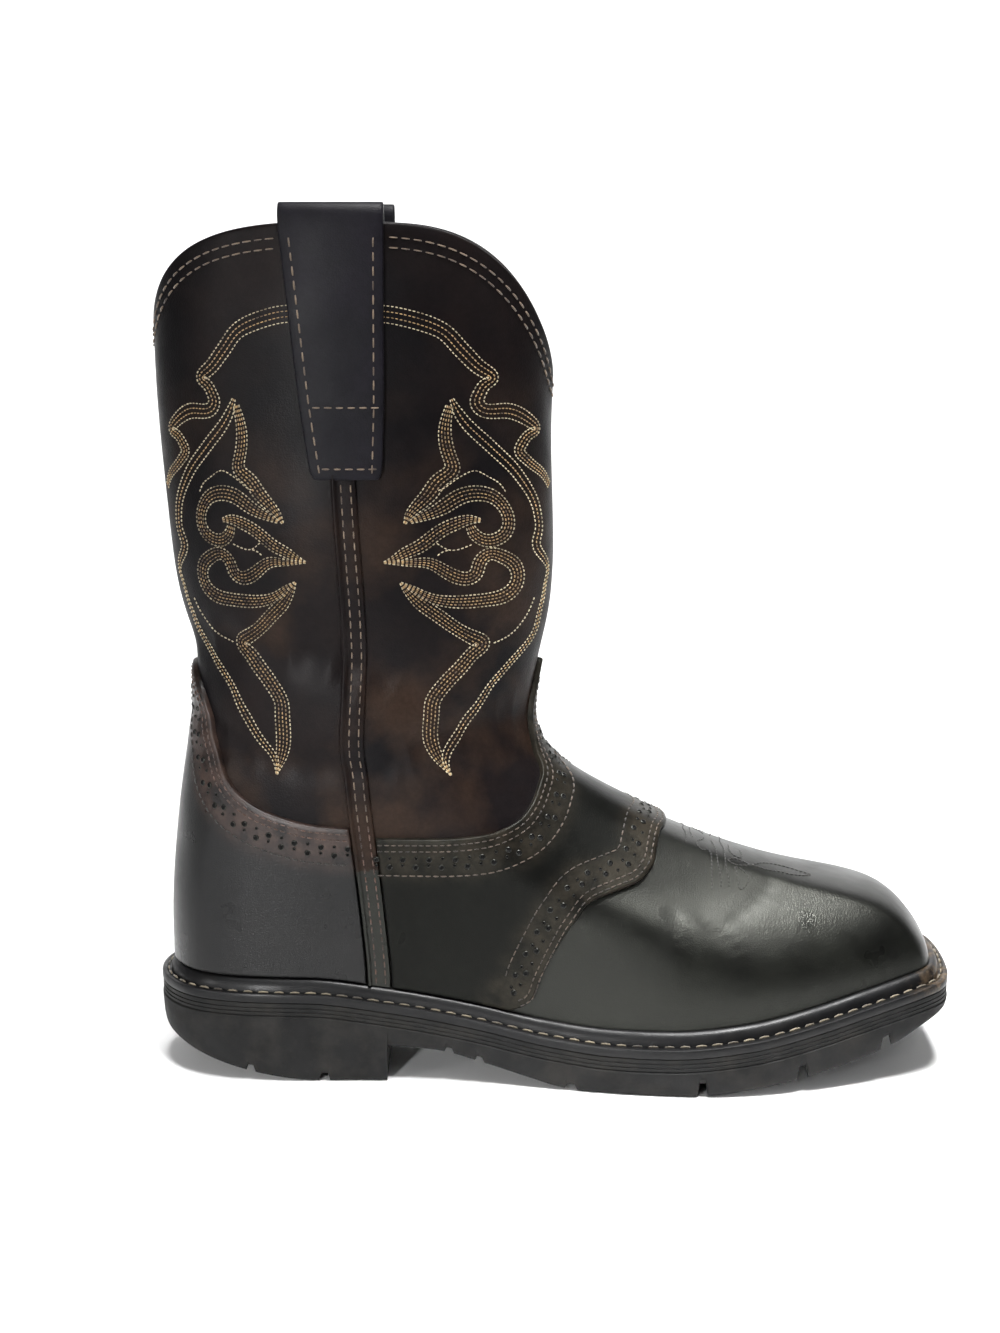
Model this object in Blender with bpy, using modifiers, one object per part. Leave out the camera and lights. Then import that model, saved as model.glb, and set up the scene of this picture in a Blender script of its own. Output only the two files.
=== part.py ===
"""Western pull-on work boot for the right foot, as an assembly of the pieces a bootmaker puts together.

+X points to the toe, +Y to the inner (medial) side of the foot and +Z up. The origin lies on the ground,
under the middle of the boot's bounding box. All lengths are in metres.

The upper is one ring-shaped surface between the feather line, where it meets the welt, and the collar.
A point on it has two coordinates: turn, from 0 at the middle of the heel to 1 at the middle of the toe,
negative on the outer side of the foot, and rise, from 0 at the feather line to 1 at the collar.
"""

import math

import bmesh
import bpy
import numpy as np

# Sole
SOLE_LENGTH = 0.310
BALL_WIDTH = 0.111
HEEL_HEIGHT = 0.0350  # ground to the welt's top face, under the heel
BALL_HEIGHT = 0.0182  # ground to the welt's top face, under the ball
TOE_SPRING = 0.0195  # how far the welt rises from the ball to the toe
HEEL_BLOCK_LENGTH = 0.090
HEEL_ROLL_LENGTH = 0.062  # the heel's tread rolls up behind this
HEEL_ROLL_HEIGHT = 0.0145
WAIST_HEIGHT = 0.014  # ground to the tread just in front of the heel
TREAD_SPRING = 0.022  # ground to the tread near the toe
BREAST_SLOPE = 0.0025  # how far the heel's front face leans back
WELT_THICKNESS = 0.0034
MIDSOLE_THICKNESS = 0.0053
INSOLE_THICKNESS = 0.003
MIDSOLE_INSET = 0.0007
TOE_STEP = 0.0014  # the bumper over the toe lug
RIB_DEPTH = 0.0007  # the two lines cut round the outsole's side
RIB_HEIGHT = 0.0009
RIB_PITCH = 0.0030
RIB_START = 0.0022  # from the outsole's top face to the first line
SIDE_ROOM = 0.01  # how far the cutting shape reaches past the sole
CUT_ROOM = 0.02  # and how far above and below it
SIDE_DRAFT = 0.0006  # how far the sole's side leans in at its foot
CHANNEL_WIDTH = 0.0032  # the two grooves that run along the tread
CHANNEL_DEPTH = 0.0032
CHANNEL_OFFSET = 0.0165

# Welt
INSOLE_ROOM = 0.0012  # between the footbed's edge and the upper's wall
HEEL_MARGIN = 0.0070  # from the upper to the sole's edge
BALL_MARGIN = 0.0088
LIP_HEIGHT = 0.0046  # the rolled storm lip against the upper
LIP_WIDTH = 0.0036

# Upper
LEATHER = 0.0022
OVERLAY = 0.0016
COLLAR_HEIGHT = 0.3212  # ground to the collar beside the pull straps
FRONT_DIP = 0.056  # how far the collar drops at the front
BACK_DIP = 0.037  # and at the back
DIP_ROUND = 0.08  # rounding of each dip's lowest point
FRONT_DIP_POWER = 1.22
BACK_DIP_POWER = 1.62
ANKLE_HEIGHT = 0.133
SHAFT_DEPTH = 0.149  # front to back near the collar
SHAFT_WIDTH = 0.089  # side to side near the collar
SHAFT_START = 0.0036  # the back of the shaft near the collar, from the sole's back end
COUNTER_TOP = 0.158  # ground to the top of the counter's tongue
COUNTER_SIDE = 0.0987  # ground to the counter's top edge at the side seams
SADDLE_TOP = 0.159  # ground to the top of the saddle's tongue
SADDLE_SIDE = 0.0952  # ground to the saddle's top edge at the side seams
WING_PEAK = 0.0925  # ground to the middle of the saddle's front edge
SEAM_TURN = 0.37
SEAM_WIDTH = 0.0085
SEAM_ROOM = 0.036  # from a side seam to the next lines of the upper's grid, as a part of a turn
SEAM_THICKNESS = 0.0021

# Pull straps
STRAP_WIDTH = 0.0375
STRAP_WAIST = 0.0303  # width at the cross seam
STRAP_TIP = 0.0262  # width at the lower end
STRAP_THICKNESS = 0.0026
STRAP_TOP = COLLAR_HEIGHT + 0.0078  # ground to the top of the loop
STRAP_SEAM = COLLAR_HEIGHT - 0.0642  # ground to the cross seam
STRAP_END = COLLAR_HEIGHT - 0.0902  # ground to the lower end, outside the shaft
STRAP_INSIDE_END = COLLAR_HEIGHT - 0.0592  # ground to the lower end, inside the shaft
STRAP_TURN = 0.004  # how far below the collar the strap starts to turn over it
STRAP_PLACE = 0.4675  # the strap's middle, as a share of the shaft from back to front
STRAP_LEAN = 0.0045  # how far the strap's lower end stands ahead of its top
STRAP_WALL = LEATHER * 1.15  # the wall inside a strap, measured square to the strap

GAP = 0.0003
OVERLAY_GAP = 0.0005  # under the overlays, where the upper's flat faces meet at an angle
WELT_GAP = 0.0006  # between the welt's lip and the upper

# Where the outline of the sole lies at each turn, as shares of its length and of half its ball width
OUTLINE_COLUMNS = ("turn", "along", "outer", "inner")
OUTLINE = (
    (0.00, 0.000, 0.00, 0.00),
    (0.06, 0.010, 0.27, 0.27),
    (0.12, 0.040, 0.50, 0.49),
    (0.19, 0.092, 0.64, 0.62),
    (0.27, 0.170, 0.69, 0.66),
    (0.37, 0.280, 0.69, 0.61),
    (0.47, 0.395, 0.745, 0.585),
    (0.56, 0.510, 0.870, 0.690),
    (0.64, 0.610, 0.975, 0.860),
    (0.71, 0.700, 1.000, 0.985),
    (0.77, 0.775, 0.950, 1.000),
    (0.83, 0.850, 0.840, 0.930),
    (0.88, 0.915, 0.720, 0.820),
    (0.915, 0.951, 0.630, 0.735),
    (0.94, 0.975, 0.530, 0.640),
    (0.965, 0.988, 0.350, 0.460),
    (1.00, 0.993, -0.06, 0.06),
)

# The welt's width round the boot: share of the way from its width at the heel to that at the ball
MARGIN_COLUMNS = ("turn", "share")
MARGIN = ((0.0, 0.0), (0.37, 0.2), (0.70, 1.0), (0.90, 0.9), (1.00, -0.3))

# Height of the welt's top face along the sole: shares of the heel's rise and of the toe's spring
WELT_LINE_COLUMNS = ("along", "heel_rise", "toe_rise")
WELT_LINE = (
    (0.00, 1.00, 0.00),
    (0.19, 0.98, 0.00),
    (0.29, 0.76, 0.00),
    (0.40, 0.44, 0.00),
    (0.49, 0.14, 0.00),
    (0.56, 0.02, 0.00),
    (0.64, 0.00, 0.02),
    (0.73, 0.00, 0.16),
    (0.82, 0.00, 0.44),
    (0.87, 0.00, 0.63),
    (0.92, 0.00, 0.81),
    (0.97, 0.00, 0.96),
    (1.01, 0.00, 1.04),
)

# Height of the tread in front of the heel: shares of the waist's height and of the tread's spring
TREAD_LINE_COLUMNS = ("along", "waist", "spring")
TREAD_LINE = (
    (0.290, 1.00, 0.00),
    (0.350, 0.90, 0.00),
    (0.413, 0.57, 0.00),
    (0.458, 0.30, 0.00),
    (0.503, 0.06, 0.00),
    (0.532, 0.00, 0.00),
    (0.660, 0.00, 0.00),
    (0.730, 0.00, 0.10),
    (0.794, 0.00, 0.25),
    (0.855, 0.00, 0.44),
    (0.916, 0.00, 0.71),
    (0.955, 0.00, 0.97),
    (1.000, 0.00, 1.22),
)

# Grooves across the tread
GROOVE_COLUMNS = ("along", "width", "depth")
GROOVES = (
    (0.121, 0.0036, 0.0024),
    (0.213, 0.0040, 0.0028),
    (0.366, 0.0036, 0.0018),
    (0.403, 0.0036, 0.0018),
    (0.5145, 0.0046, 0.0020),
    (0.674, 0.0042, 0.0052),
    (0.797, 0.0044, 0.0050),
    (0.903, 0.0044, 0.0044),
)
GROOVE_TAPER = 0.55  # a groove's floor over its mouth

# Loops of the foot between the feather line (0, 0) and the ankle (1, 1). At the heel's back, the side
# seam, the ball, the toe's corner and its tip, each has its share of the way in and of the way up.
FOOT_TURNS = (0.0, SEAM_TURN, 0.70, 0.92, 1.0)
FOOT_COLUMNS = ("back_in", "back_up", "side_in", "side_up", "ball_in", "ball_up")
FOOT_COLUMNS += ("corner_in", "corner_up", "tip_in", "tip_up")
FOOT_LOOPS = (
    (0.00, 0.065, 0.00, 0.065, 0.000, 0.065, 0.001, 0.045, 0.000, 0.050),
    (-0.01, 0.135, 0.02, 0.135, 0.000, 0.135, 0.006, 0.100, 0.005, 0.110),
    (-0.02, 0.210, 0.08, 0.210, 0.030, 0.210, 0.034, 0.188, 0.040, 0.210),
    (0.00, 0.300, 0.17, 0.300, 0.130, 0.300, 0.118, 0.288, 0.128, 0.328),
    (0.07, 0.400, 0.28, 0.400, 0.295, 0.390, 0.275, 0.360, 0.290, 0.397),
    (0.18, 0.500, 0.40, 0.500, 0.465, 0.475, 0.440, 0.430, 0.450, 0.464),
    (0.34, 0.620, 0.56, 0.620, 0.665, 0.588, 0.655, 0.574, 0.662, 0.589),
    (0.60, 0.780, 0.76, 0.780, 0.852, 0.752, 0.856, 0.742, 0.861, 0.748),
    (0.81, 0.885, 0.885, 0.885, 0.945, 0.868, 0.950, 0.858, 0.955, 0.860),
)

# Where on the shaft each turn arrives, in degrees round from the back
LEG_ANGLE_COLUMNS = ("turn", "degrees")
LEG_ANGLE = (
    (0.00, 0.0),
    (0.12, 30.0),
    (0.25, 62.0),
    (0.37, 88.0),
    (0.50, 107.0),
    (0.62, 122.5),
    (0.74, 138.5),
    (0.85, 153.5),
    (0.93, 166.5),
    (1.00, 180.0),
)

# The shaft's back, front and half width at each height: shares of the collar's height, of the shaft's
# depth and of half its width
SHAFT_COLUMNS = ("height", "back", "front", "half")
SHAFT = (
    (0.413, 0.077, 0.953, 0.830),
    (0.470, 0.094, 0.958, 0.835),
    (0.500, 0.081, 0.970, 0.850),
    (0.545, 0.058, 0.991, 0.885),
    (0.600, 0.042, 1.000, 0.925),
    (0.700, 0.018, 1.001, 0.965),
    (0.780, 0.008, 0.999, 0.985),
    (0.840, 0.000, 1.004, 1.000),
    (0.900, 0.000, 1.000, 1.005),
    (1.000, 0.004, 0.994, 1.000),
)
SHAFT_LOOPS = 7

# The foot part's top edge: angle on the leg from its tongue's middle to the side seam, and the share
# of the drop from the tongue to the side, behind and in front
EDGE_COLUMNS = ("degrees", "back", "front")
EDGE = (
    (0.0, 0.00, 0.000),
    (8.0, 0.03, 0.250),
    (16.0, 0.09, 0.520),
    (24.0, 0.19, 0.660),
    (32.0, 0.43, 0.750),
    (40.0, 0.66, 0.840),
    (50.0, 0.82, 0.930),
    (62.0, 0.92, 0.985),
    (75.0, 0.98, 1.000),
    (90.0, 1.00, 1.000),
)

# The saddle's winged front edge: share of the way up from the welt's lip to its peak on the instep
WING_COLUMNS = ("turn", "up")
WING = (
    (0.510, 0.000),
    (0.527, 0.075),
    (0.542, 0.232),
    (0.575, 0.430),
    (0.615, 0.567),
    (0.680, 0.690),
    (0.738, 0.721),
    (0.790, 0.742),
    (0.840, 0.805),
    (0.888, 0.906),
    (0.950, 0.990),
    (1.000, 1.000),
)

LEATHER_BROWN = (0.030, 0.018, 0.013)
LEATHER_DARK = (0.016, 0.013, 0.012)
LEATHER_TAN = (0.35, 0.22, 0.13)
RUBBER_BLACK = (0.022, 0.021, 0.020)
WELT_BLACK = (0.018, 0.017, 0.018)


def columns(table):
    """A table's columns, each as an array."""
    return [np.array(column, float) for column in zip(*table)]


def spline(knots, values, ends="natural"):
    """A curve through the values, smooth to its second derivative. Its ends are natural, flat or a loop."""
    x = np.asarray(knots, float)
    y = np.asarray(values, float)
    flat_shape = y.shape[1:]
    y = y.reshape(len(x), -1)
    count = len(x)
    step = np.diff(x)
    slope = np.diff(y, axis=0) / step[:, None]
    matrix = np.zeros((count, count))
    right = np.zeros_like(y)
    for i in range(1, count - 1):
        matrix[i, i - 1 : i + 2] = step[i - 1], 2 * (step[i - 1] + step[i]), step[i]
        right[i] = 6 * (slope[i] - slope[i - 1])
    if ends == "natural":
        matrix[0, 0] = matrix[-1, -1] = 1
    elif ends == "flat":
        matrix[0, :2] = 2 * step[0], step[0]
        right[0] = 6 * slope[0]
        matrix[-1, -2:] = step[-1], 2 * step[-1]
        right[-1] = -6 * slope[-1]
    else:
        matrix[0, 0], matrix[0, -1] = 1, -1
        matrix[-1, 0] = 2 * (step[-1] + step[0])
        matrix[-1, 1] = step[0]
        matrix[-1, -2] = step[-1]
        right[-1] = 6 * (slope[0] - slope[-1])
    bend = np.linalg.solve(matrix, right)

    def at(where):
        where = np.asarray(where, float)
        flat = where.ravel()
        if ends == "loop":
            flat = x[0] + np.mod(flat - x[0], x[-1] - x[0])
        i = np.clip(np.searchsorted(x, flat) - 1, 0, count - 2)
        h = step[i][:, None]
        a = (x[i + 1] - flat)[:, None] / h
        b = 1 - a
        found = a * y[i] + b * y[i + 1]
        found += ((a**3 - a) * bend[i] + (b**3 - b) * bend[i + 1]) * h**2 / 6
        return found.reshape(where.shape + flat_shape)

    return at


def steady(knots, values):
    """A curve through the values that never overshoots them, for heights that hold flat spots."""
    x = np.asarray(knots, float)
    y = np.asarray(values, float)
    step = np.diff(x)
    slope = np.diff(y) / step
    tangent = np.zeros_like(y)
    for i in range(1, len(x) - 1):
        if slope[i - 1] * slope[i] > 0:
            before = 2 * step[i] + step[i - 1]
            after = step[i] + 2 * step[i - 1]
            tangent[i] = (before + after) / (before / slope[i - 1] + after / slope[i])
    tangent[0], tangent[-1] = slope[0], slope[-1]

    def at(where):
        where = np.clip(np.asarray(where, float), x[0], x[-1])
        i = np.clip(np.searchsorted(x, where) - 1, 0, len(x) - 2)
        h = step[i]
        t = (where - x[i]) / h
        rise = y[i] * (1 + 2 * t) * (1 - t) ** 2 + y[i + 1] * t**2 * (3 - 2 * t)
        return rise + h * (tangent[i] * t * (1 - t) ** 2 - tangent[i + 1] * t**2 * (1 - t))

    return at


def make_outline():
    """The sole's edge seen from above, as a loop over the turns from -1 to 1."""
    turn, along, outer, inner = columns(OUTLINE)
    half = BALL_WIDTH / 2
    turns = np.concatenate([-turn[::-1], turn[1:]])
    x = np.concatenate([along[::-1], along[1:]]) * SOLE_LENGTH
    y = np.concatenate([-outer[::-1], inner[1:]]) * half
    return spline(turns, np.stack([x, y], 1), "loop")


outline = make_outline()


def bounds_middle():
    """The middle of the sole's outline, which becomes the origin."""
    points = outline(np.linspace(-1, 1, 2001))
    return (points.min(0) + points.max(0)) / 2


MIDDLE = bounds_middle()


def welt_height(x):
    """Height of the welt's top face, x measured from the sole's back end."""
    along, heel, toe = columns(WELT_LINE)
    x = np.asarray(x, float) / SOLE_LENGTH
    heel_part = steady(along, heel)(x) * (HEEL_HEIGHT - BALL_HEIGHT)
    return BALL_HEIGHT + heel_part + steady(along, toe)(x) * TOE_SPRING


def tread_height(x):
    """Height of the tread's surface between its grooves."""
    along, waist, spring = columns(TREAD_LINE)
    x = np.asarray(x, float)
    front = steady(along, waist)(x / SOLE_LENGTH) * WAIST_HEIGHT
    front += steady(along, spring)(x / SOLE_LENGTH) * TREAD_SPRING
    roll = np.clip(1 - x / HEEL_ROLL_LENGTH, 0, 1) ** 1.6 * HEEL_ROLL_HEIGHT
    return np.where(x <= HEEL_BLOCK_LENGTH, roll, front)


def inset_outline(turn, inset):
    """The sole's outline moved inwards by inset, square to its edge."""
    small = 1e-4
    turn = np.asarray(turn, float)
    along = outline(turn + small) - outline(turn - small)
    along /= np.linalg.norm(along, axis=-1, keepdims=True)
    inwards = np.stack([along[..., 1], -along[..., 0]], -1)
    return outline(turn) + inwards * np.asarray(inset, float)[..., None]


def margin(turn):
    """Width of the welt that shows outside the upper."""
    turns, share = columns(MARGIN)
    return HEEL_MARGIN + (BALL_MARGIN - HEEL_MARGIN) * steady(turns, share)(np.abs(turn))


def leg(angle, z, side):
    """A point on the shaft, angle in degrees round from its back."""
    height, back, front, half = columns(SHAFT)
    share = np.asarray(z, float) / COLLAR_HEIGHT
    back_x = SHAFT_START + spline(height, back)(share) * SHAFT_DEPTH
    front_x = SHAFT_START + spline(height, front)(share) * SHAFT_DEPTH
    half_y = spline(height, half)(share) * SHAFT_WIDTH / 2
    angle = np.radians(angle)
    x = (back_x + front_x) / 2 - (front_x - back_x) / 2 * np.cos(angle)
    return np.stack([x, side * half_y * np.sin(angle), z + 0 * x], -1)


def collar_height(angle):
    """Height of the collar's edge, with its dip at the front and the back."""
    angle = np.radians(angle)
    across = np.sqrt(np.sin(angle) ** 2 + DIP_ROUND**2) - DIP_ROUND
    forward = (1 - np.cos(angle)) / 2
    power = BACK_DIP_POWER + (FRONT_DIP_POWER - BACK_DIP_POWER) * forward
    dip = BACK_DIP + (FRONT_DIP - BACK_DIP) * forward
    return COLLAR_HEIGHT - dip * np.clip(1 - across / (1 - DIP_ROUND), 0, 1) ** power


def leg_angle(turn):
    """Degrees round the shaft, from its back, at a turn from 0 to 1."""
    return spline(*columns(LEG_ANGLE))(np.abs(turn))


def meridian_points(turn):
    """The points that each turn's line over the upper passes through, from feather line to collar."""
    turn = np.asarray(turn, float)
    side = np.where(turn < 0, -1.0, 1.0)
    amount = np.abs(turn)
    feather_xy = inset_outline(turn, margin(turn))
    feather_z = welt_height(feather_xy[..., 0]) - WELT_THICKNESS
    angle = leg_angle(turn)
    ankle = leg(angle, ANKLE_HEIGHT + 0 * angle, side)
    levels = [np.concatenate([feather_xy, feather_z[..., None]], -1)]
    for row in FOOT_LOOPS:
        inward = spline(FOOT_TURNS, row[0::2], "flat")(amount)[..., None]
        upward = spline(FOOT_TURNS, row[1::2], "flat")(amount)
        xy = feather_xy + (ankle[..., :2] - feather_xy) * inward
        z = feather_z + (ankle[..., 2] - feather_z) * upward
        levels.append(np.concatenate([xy, z[..., None]], -1))
    top = collar_height(angle)
    for level in range(SHAFT_LOOPS):
        z = ANKLE_HEIGHT + (top - ANKLE_HEIGHT) * level / (SHAFT_LOOPS - 1)
        levels.append(leg(angle, z, side))
    return np.stack(levels)


def skin(turn, rise):
    """Points of the upper's outer face, in pairs of turn and rise."""
    turn = np.asarray(turn, float)
    rise = np.asarray(rise, float)
    turn, rise = np.broadcast_arrays(turn, rise)
    turns, index = np.unique(turn, return_inverse=True)
    levels = meridian_points(turns)
    lines = spline(np.linspace(0, 1, len(levels)), levels)
    rises, which = np.unique(rise, return_inverse=True)
    grid = lines(rises)
    return grid[which.reshape(rise.shape), index.reshape(turn.shape)]


def lifted(turn, rise, lift):
    """Points of the upper's outer face moved outwards by lift, square to it."""
    turn, rise, lift = np.broadcast_arrays(
        np.asarray(turn, float), np.asarray(rise, float), np.asarray(lift, float)
    )
    small = 1e-3
    low = np.clip(rise - small, 0, 1)
    high = np.clip(rise + small, 0, 1)
    up = skin(turn, high) - skin(turn, low)
    around = skin(turn + small, rise) - skin(turn - small, rise)
    out = np.cross(up, around)
    out /= np.linalg.norm(out, axis=-1, keepdims=True)
    return skin(turn, rise) + out * lift[..., None]


def rise_at(turn, height):
    """How far up a turn's line the outer face first reaches a height."""
    turn, height = np.broadcast_arrays(np.asarray(turn, float), np.asarray(height, float))
    low = np.zeros(turn.shape)
    high = np.ones(turn.shape)
    for _ in range(22):
        middle = (low + high) / 2
        above = skin(turn, middle)[..., 2] > height
        high = np.where(above, middle, high)
        low = np.where(above, low, middle)
    return (low + high) / 2


def foot_edge_rise(turn):
    """The foot part's top edge, with its tongues up the front and the back of the shaft."""
    angle = leg_angle(turn)
    degrees, back, front = columns(EDGE)
    behind = COUNTER_TOP - (COUNTER_TOP - COUNTER_SIDE) * steady(degrees, back)(angle)
    ahead = SADDLE_TOP - (SADDLE_TOP - SADDLE_SIDE) * steady(degrees, front)(180 - angle)
    return rise_at(turn, np.where(np.abs(turn) <= SEAM_TURN, behind, ahead))


def lip_height(turn):
    """Height at which the upper leaves the welt's lip."""
    edge = inset_outline(turn, margin(turn))
    return welt_height(edge[..., 0]) + LIP_HEIGHT + GAP


def wing_height(turn):
    """Height of the saddle's lower edge: the welt's lip, then the wing's edge in front."""
    low = lip_height(turn)
    turns, up = columns(WING)
    return low + (WING_PEAK - low) * steady(turns, up)(np.abs(turn))


def world(points):
    """The same points with the origin moved to the middle of the boot."""
    moved = np.array(points, float)
    moved[..., 0] -= MIDDLE[0]
    moved[..., 1] -= MIDDLE[1]
    return moved


def make_object(name, vertices, faces, collection):
    """A mesh object from points and faces, its normals turned outwards."""
    mesh = bpy.data.meshes.new(name)
    mesh.from_pydata([tuple(v) for v in vertices], [], faces)
    shape = bmesh.new()
    shape.from_mesh(mesh)
    bmesh.ops.remove_doubles(shape, verts=shape.verts, dist=1e-6)
    bmesh.ops.recalc_face_normals(shape, faces=shape.faces)
    shape.to_mesh(mesh)
    shape.free()
    mesh.shade_smooth()
    mesh.set_sharp_from_angle(angle=math.radians(38))
    made = bpy.data.objects.new(name, mesh)
    collection.objects.link(made)
    return made


def grid_faces(rows, count, closed):
    """Faces between rows of points, each row count points long."""
    faces = []
    last = count if closed else count - 1
    for i in range(rows - 1):
        for j in range(last):
            k = (j + 1) % count
            faces.append((i * count + j, i * count + k, (i + 1) * count + k, (i + 1) * count + j))
    return faces


def slab_solid(name, inside, outside, collection):
    """A closed solid between two grids of points of the same shape, joined round their edges."""
    rows, count = inside.shape[:2]
    size = rows * count
    faces = grid_faces(rows, count, False)
    faces += [tuple(size + v for v in face) for face in faces]
    rim = [j for j in range(count)]
    rim += [i * count + count - 1 for i in range(1, rows)]
    rim += [(rows - 1) * count + j for j in range(count - 2, -1, -1)]
    rim += [i * count for i in range(rows - 2, 0, -1)]
    for a, b in zip(rim, rim[1:] + rim[:1]):
        faces.append((a, b, size + b, size + a))
    points = np.concatenate([inside.reshape(-1, 3), outside.reshape(-1, 3)])
    return make_object(name, world(points), faces, collection)


HEEL_TURNS = np.linspace(0, SEAM_TURN - SEAM_ROOM, 9)
WING_TURNS = np.array([0.455, 0.500, 0.527, 0.555, 0.590, 0.635, 0.690, 0.750, 0.805, 0.855, 0.893])
FRONT_TURNS = np.concatenate([[SEAM_TURN + SEAM_ROOM], WING_TURNS, np.linspace(0.925, 1, 5)])
RISES = np.linspace(0, 1, 26)


def loop_turns():
    """Turns all round the boot, along the lines of the upper's grid."""
    side = np.concatenate([HEEL_TURNS, [SEAM_TURN], FRONT_TURNS])
    return np.concatenate([side, -side[-2:0:-1]])


def layer_solid(name, depths, insets, collection):
    """A layer of the sole: its outline at several depths under the welt's top face, with flat caps."""
    turns = loop_turns()
    count = len(turns)
    rings = []
    for depth, inset in zip(depths, insets):
        xy = inset_outline(turns, inset + 0 * turns)
        z = welt_height(xy[:, 0]) - depth
        rings.append(np.concatenate([xy, z[:, None]], 1))
    faces = grid_faces(len(rings), count, True)
    for start in (0, (len(rings) - 1) * count):
        for j in range(count // 2):
            left = (start + j, start + j + 1)
            right = (start + (count - j) % count, start + (count - j - 1) % count)
            corners = [left[0], left[1], right[1], right[0]]
            faces.append(tuple(dict.fromkeys(corners)))
    return make_object(name, world(np.concatenate(rings)), faces, collection)


def side_prism(name, profile, low_y, high_y, collection):
    """A helper solid: an outline in the X and Z plane, run across from low_y to high_y."""
    front = [(x, low_y, z) for x, z in profile]
    back = [(x, high_y, z) for x, z in profile]
    count = len(profile)
    faces = [tuple(range(count)), tuple(range(2 * count - 1, count - 1, -1))]
    for i in range(count):
        j = (i + 1) % count
        faces.append((i, j, count + j, count + i))
    made = make_object(name, world(np.array(front + back)), faces, collection)
    made.hide_render = True
    made.display_type = "WIRE"
    return made


def tread_line():
    """The tread seen from the side, heel to toe: the heel's roll and breast, the grooves, the toe step."""
    stations = list(np.linspace(0, HEEL_BLOCK_LENGTH - BREAST_SLOPE, 15))
    breast_top = HEEL_BLOCK_LENGTH + BREAST_SLOPE / 2
    stations += list(np.linspace(breast_top, SOLE_LENGTH - TOE_STEP, 38))
    for along, width, depth in GROOVES:
        centre = along * SOLE_LENGTH
        stations = [x for x in stations if abs(x - centre) > width * 0.75]
    points = [(x, float(tread_height(x))) for x in stations]
    for along, width, depth in GROOVES:
        for share, lift in ((-0.5, 0), (-0.5 * GROOVE_TAPER, depth), (0.5 * GROOVE_TAPER, depth), (0.5, 0)):
            x = along * SOLE_LENGTH + share * width
            points.append((x, float(tread_height(x)) + lift))
    line = [(-SIDE_ROOM, float(tread_height(0.0)))] + sorted(points)
    toe_z = line[-1][1]
    line.append((SOLE_LENGTH - TOE_STEP, toe_z + TOE_STEP * 2))
    line.append((SOLE_LENGTH + SIDE_ROOM, toe_z + TOE_STEP * 2))
    return line


def apply_boolean(target, cutter, operation):
    """Leaves a Boolean modifier on the target, with exact cutting."""
    step = target.modifiers.new(cutter.name, "BOOLEAN")
    step.operation = operation
    step.object = cutter
    step.solver = "EXACT"


def make_outsole(parts, helpers):
    """Rubber outsole and heel in one, with its side ribs, cross grooves and two channels."""
    top = WELT_THICKNESS + MIDSOLE_THICKNESS + 2 * GAP
    rib = top + RIB_START
    depths, insets = [top], [0.0]
    for _ in range(2):
        depths += [rib, rib, rib + RIB_HEIGHT, rib + RIB_HEIGHT]
        insets += [0.0, RIB_DEPTH, RIB_DEPTH, 0.0]
        rib += RIB_PITCH
    depths.append(HEEL_HEIGHT + CUT_ROOM)
    insets.append(SIDE_DRAFT)
    sole = layer_solid("outsole", depths, insets, parts)
    line = tread_line()
    high = HEEL_HEIGHT + TOE_SPRING + CUT_ROOM
    wide = BALL_WIDTH
    profile = line + [(SOLE_LENGTH + SIDE_ROOM, high), (-SIDE_ROOM, high)]
    apply_boolean(sole, side_prism("tread_shape", profile, -wide, wide, helpers), "INTERSECT")
    reach = {"heel": (0.03, 0.25), "forefoot": (0.345, 0.93)}
    for end, (start, stop) in reach.items():
        x = np.linspace(start, stop, 5 if end == "heel" else 14) * SOLE_LENGTH
        floor = [(a, float(tread_height(a)) + CHANNEL_DEPTH) for a in x]
        under = [(a, float(tread_height(a)) - SIDE_ROOM) for a in x[::-1]]
        for side in (-1, 1):
            middle = side * CHANNEL_OFFSET
            name = f"{end}_channel_{'outer' if side < 0 else 'inner'}"
            low, high_y = middle - CHANNEL_WIDTH / 2, middle + CHANNEL_WIDTH / 2
            cutter = side_prism(name, floor + under, low, high_y, helpers)
            apply_boolean(sole, cutter, "DIFFERENCE")
    return sole


def make_midsole(parts):
    """The layer between outsole and welt."""
    top = WELT_THICKNESS + GAP
    depths = (top, top + MIDSOLE_THICKNESS)
    return layer_solid("midsole", depths, (MIDSOLE_INSET, MIDSOLE_INSET), parts)


def make_insole(parts):
    """The footbed, inside the upper's wall."""
    turns = loop_turns()
    inset = margin(turns) + LEATHER + INSOLE_ROOM
    rings = []
    for lift in (INSOLE_THICKNESS, 0.0):
        xy = inset_outline(turns, inset)
        z = welt_height(xy[:, 0]) - WELT_THICKNESS + lift
        rings.append(np.concatenate([xy, z[:, None]], 1))
    count = len(turns)
    faces = grid_faces(2, count, True)
    for start in (0, count):
        for j in range(count // 2):
            left = (start + j, start + j + 1)
            right = (start + (count - j) % count, start + (count - j - 1) % count)
            faces.append(tuple(dict.fromkeys([left[0], left[1], right[1], right[0]])))
    return make_object("insole", world(np.concatenate(rings)), faces, parts)


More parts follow.
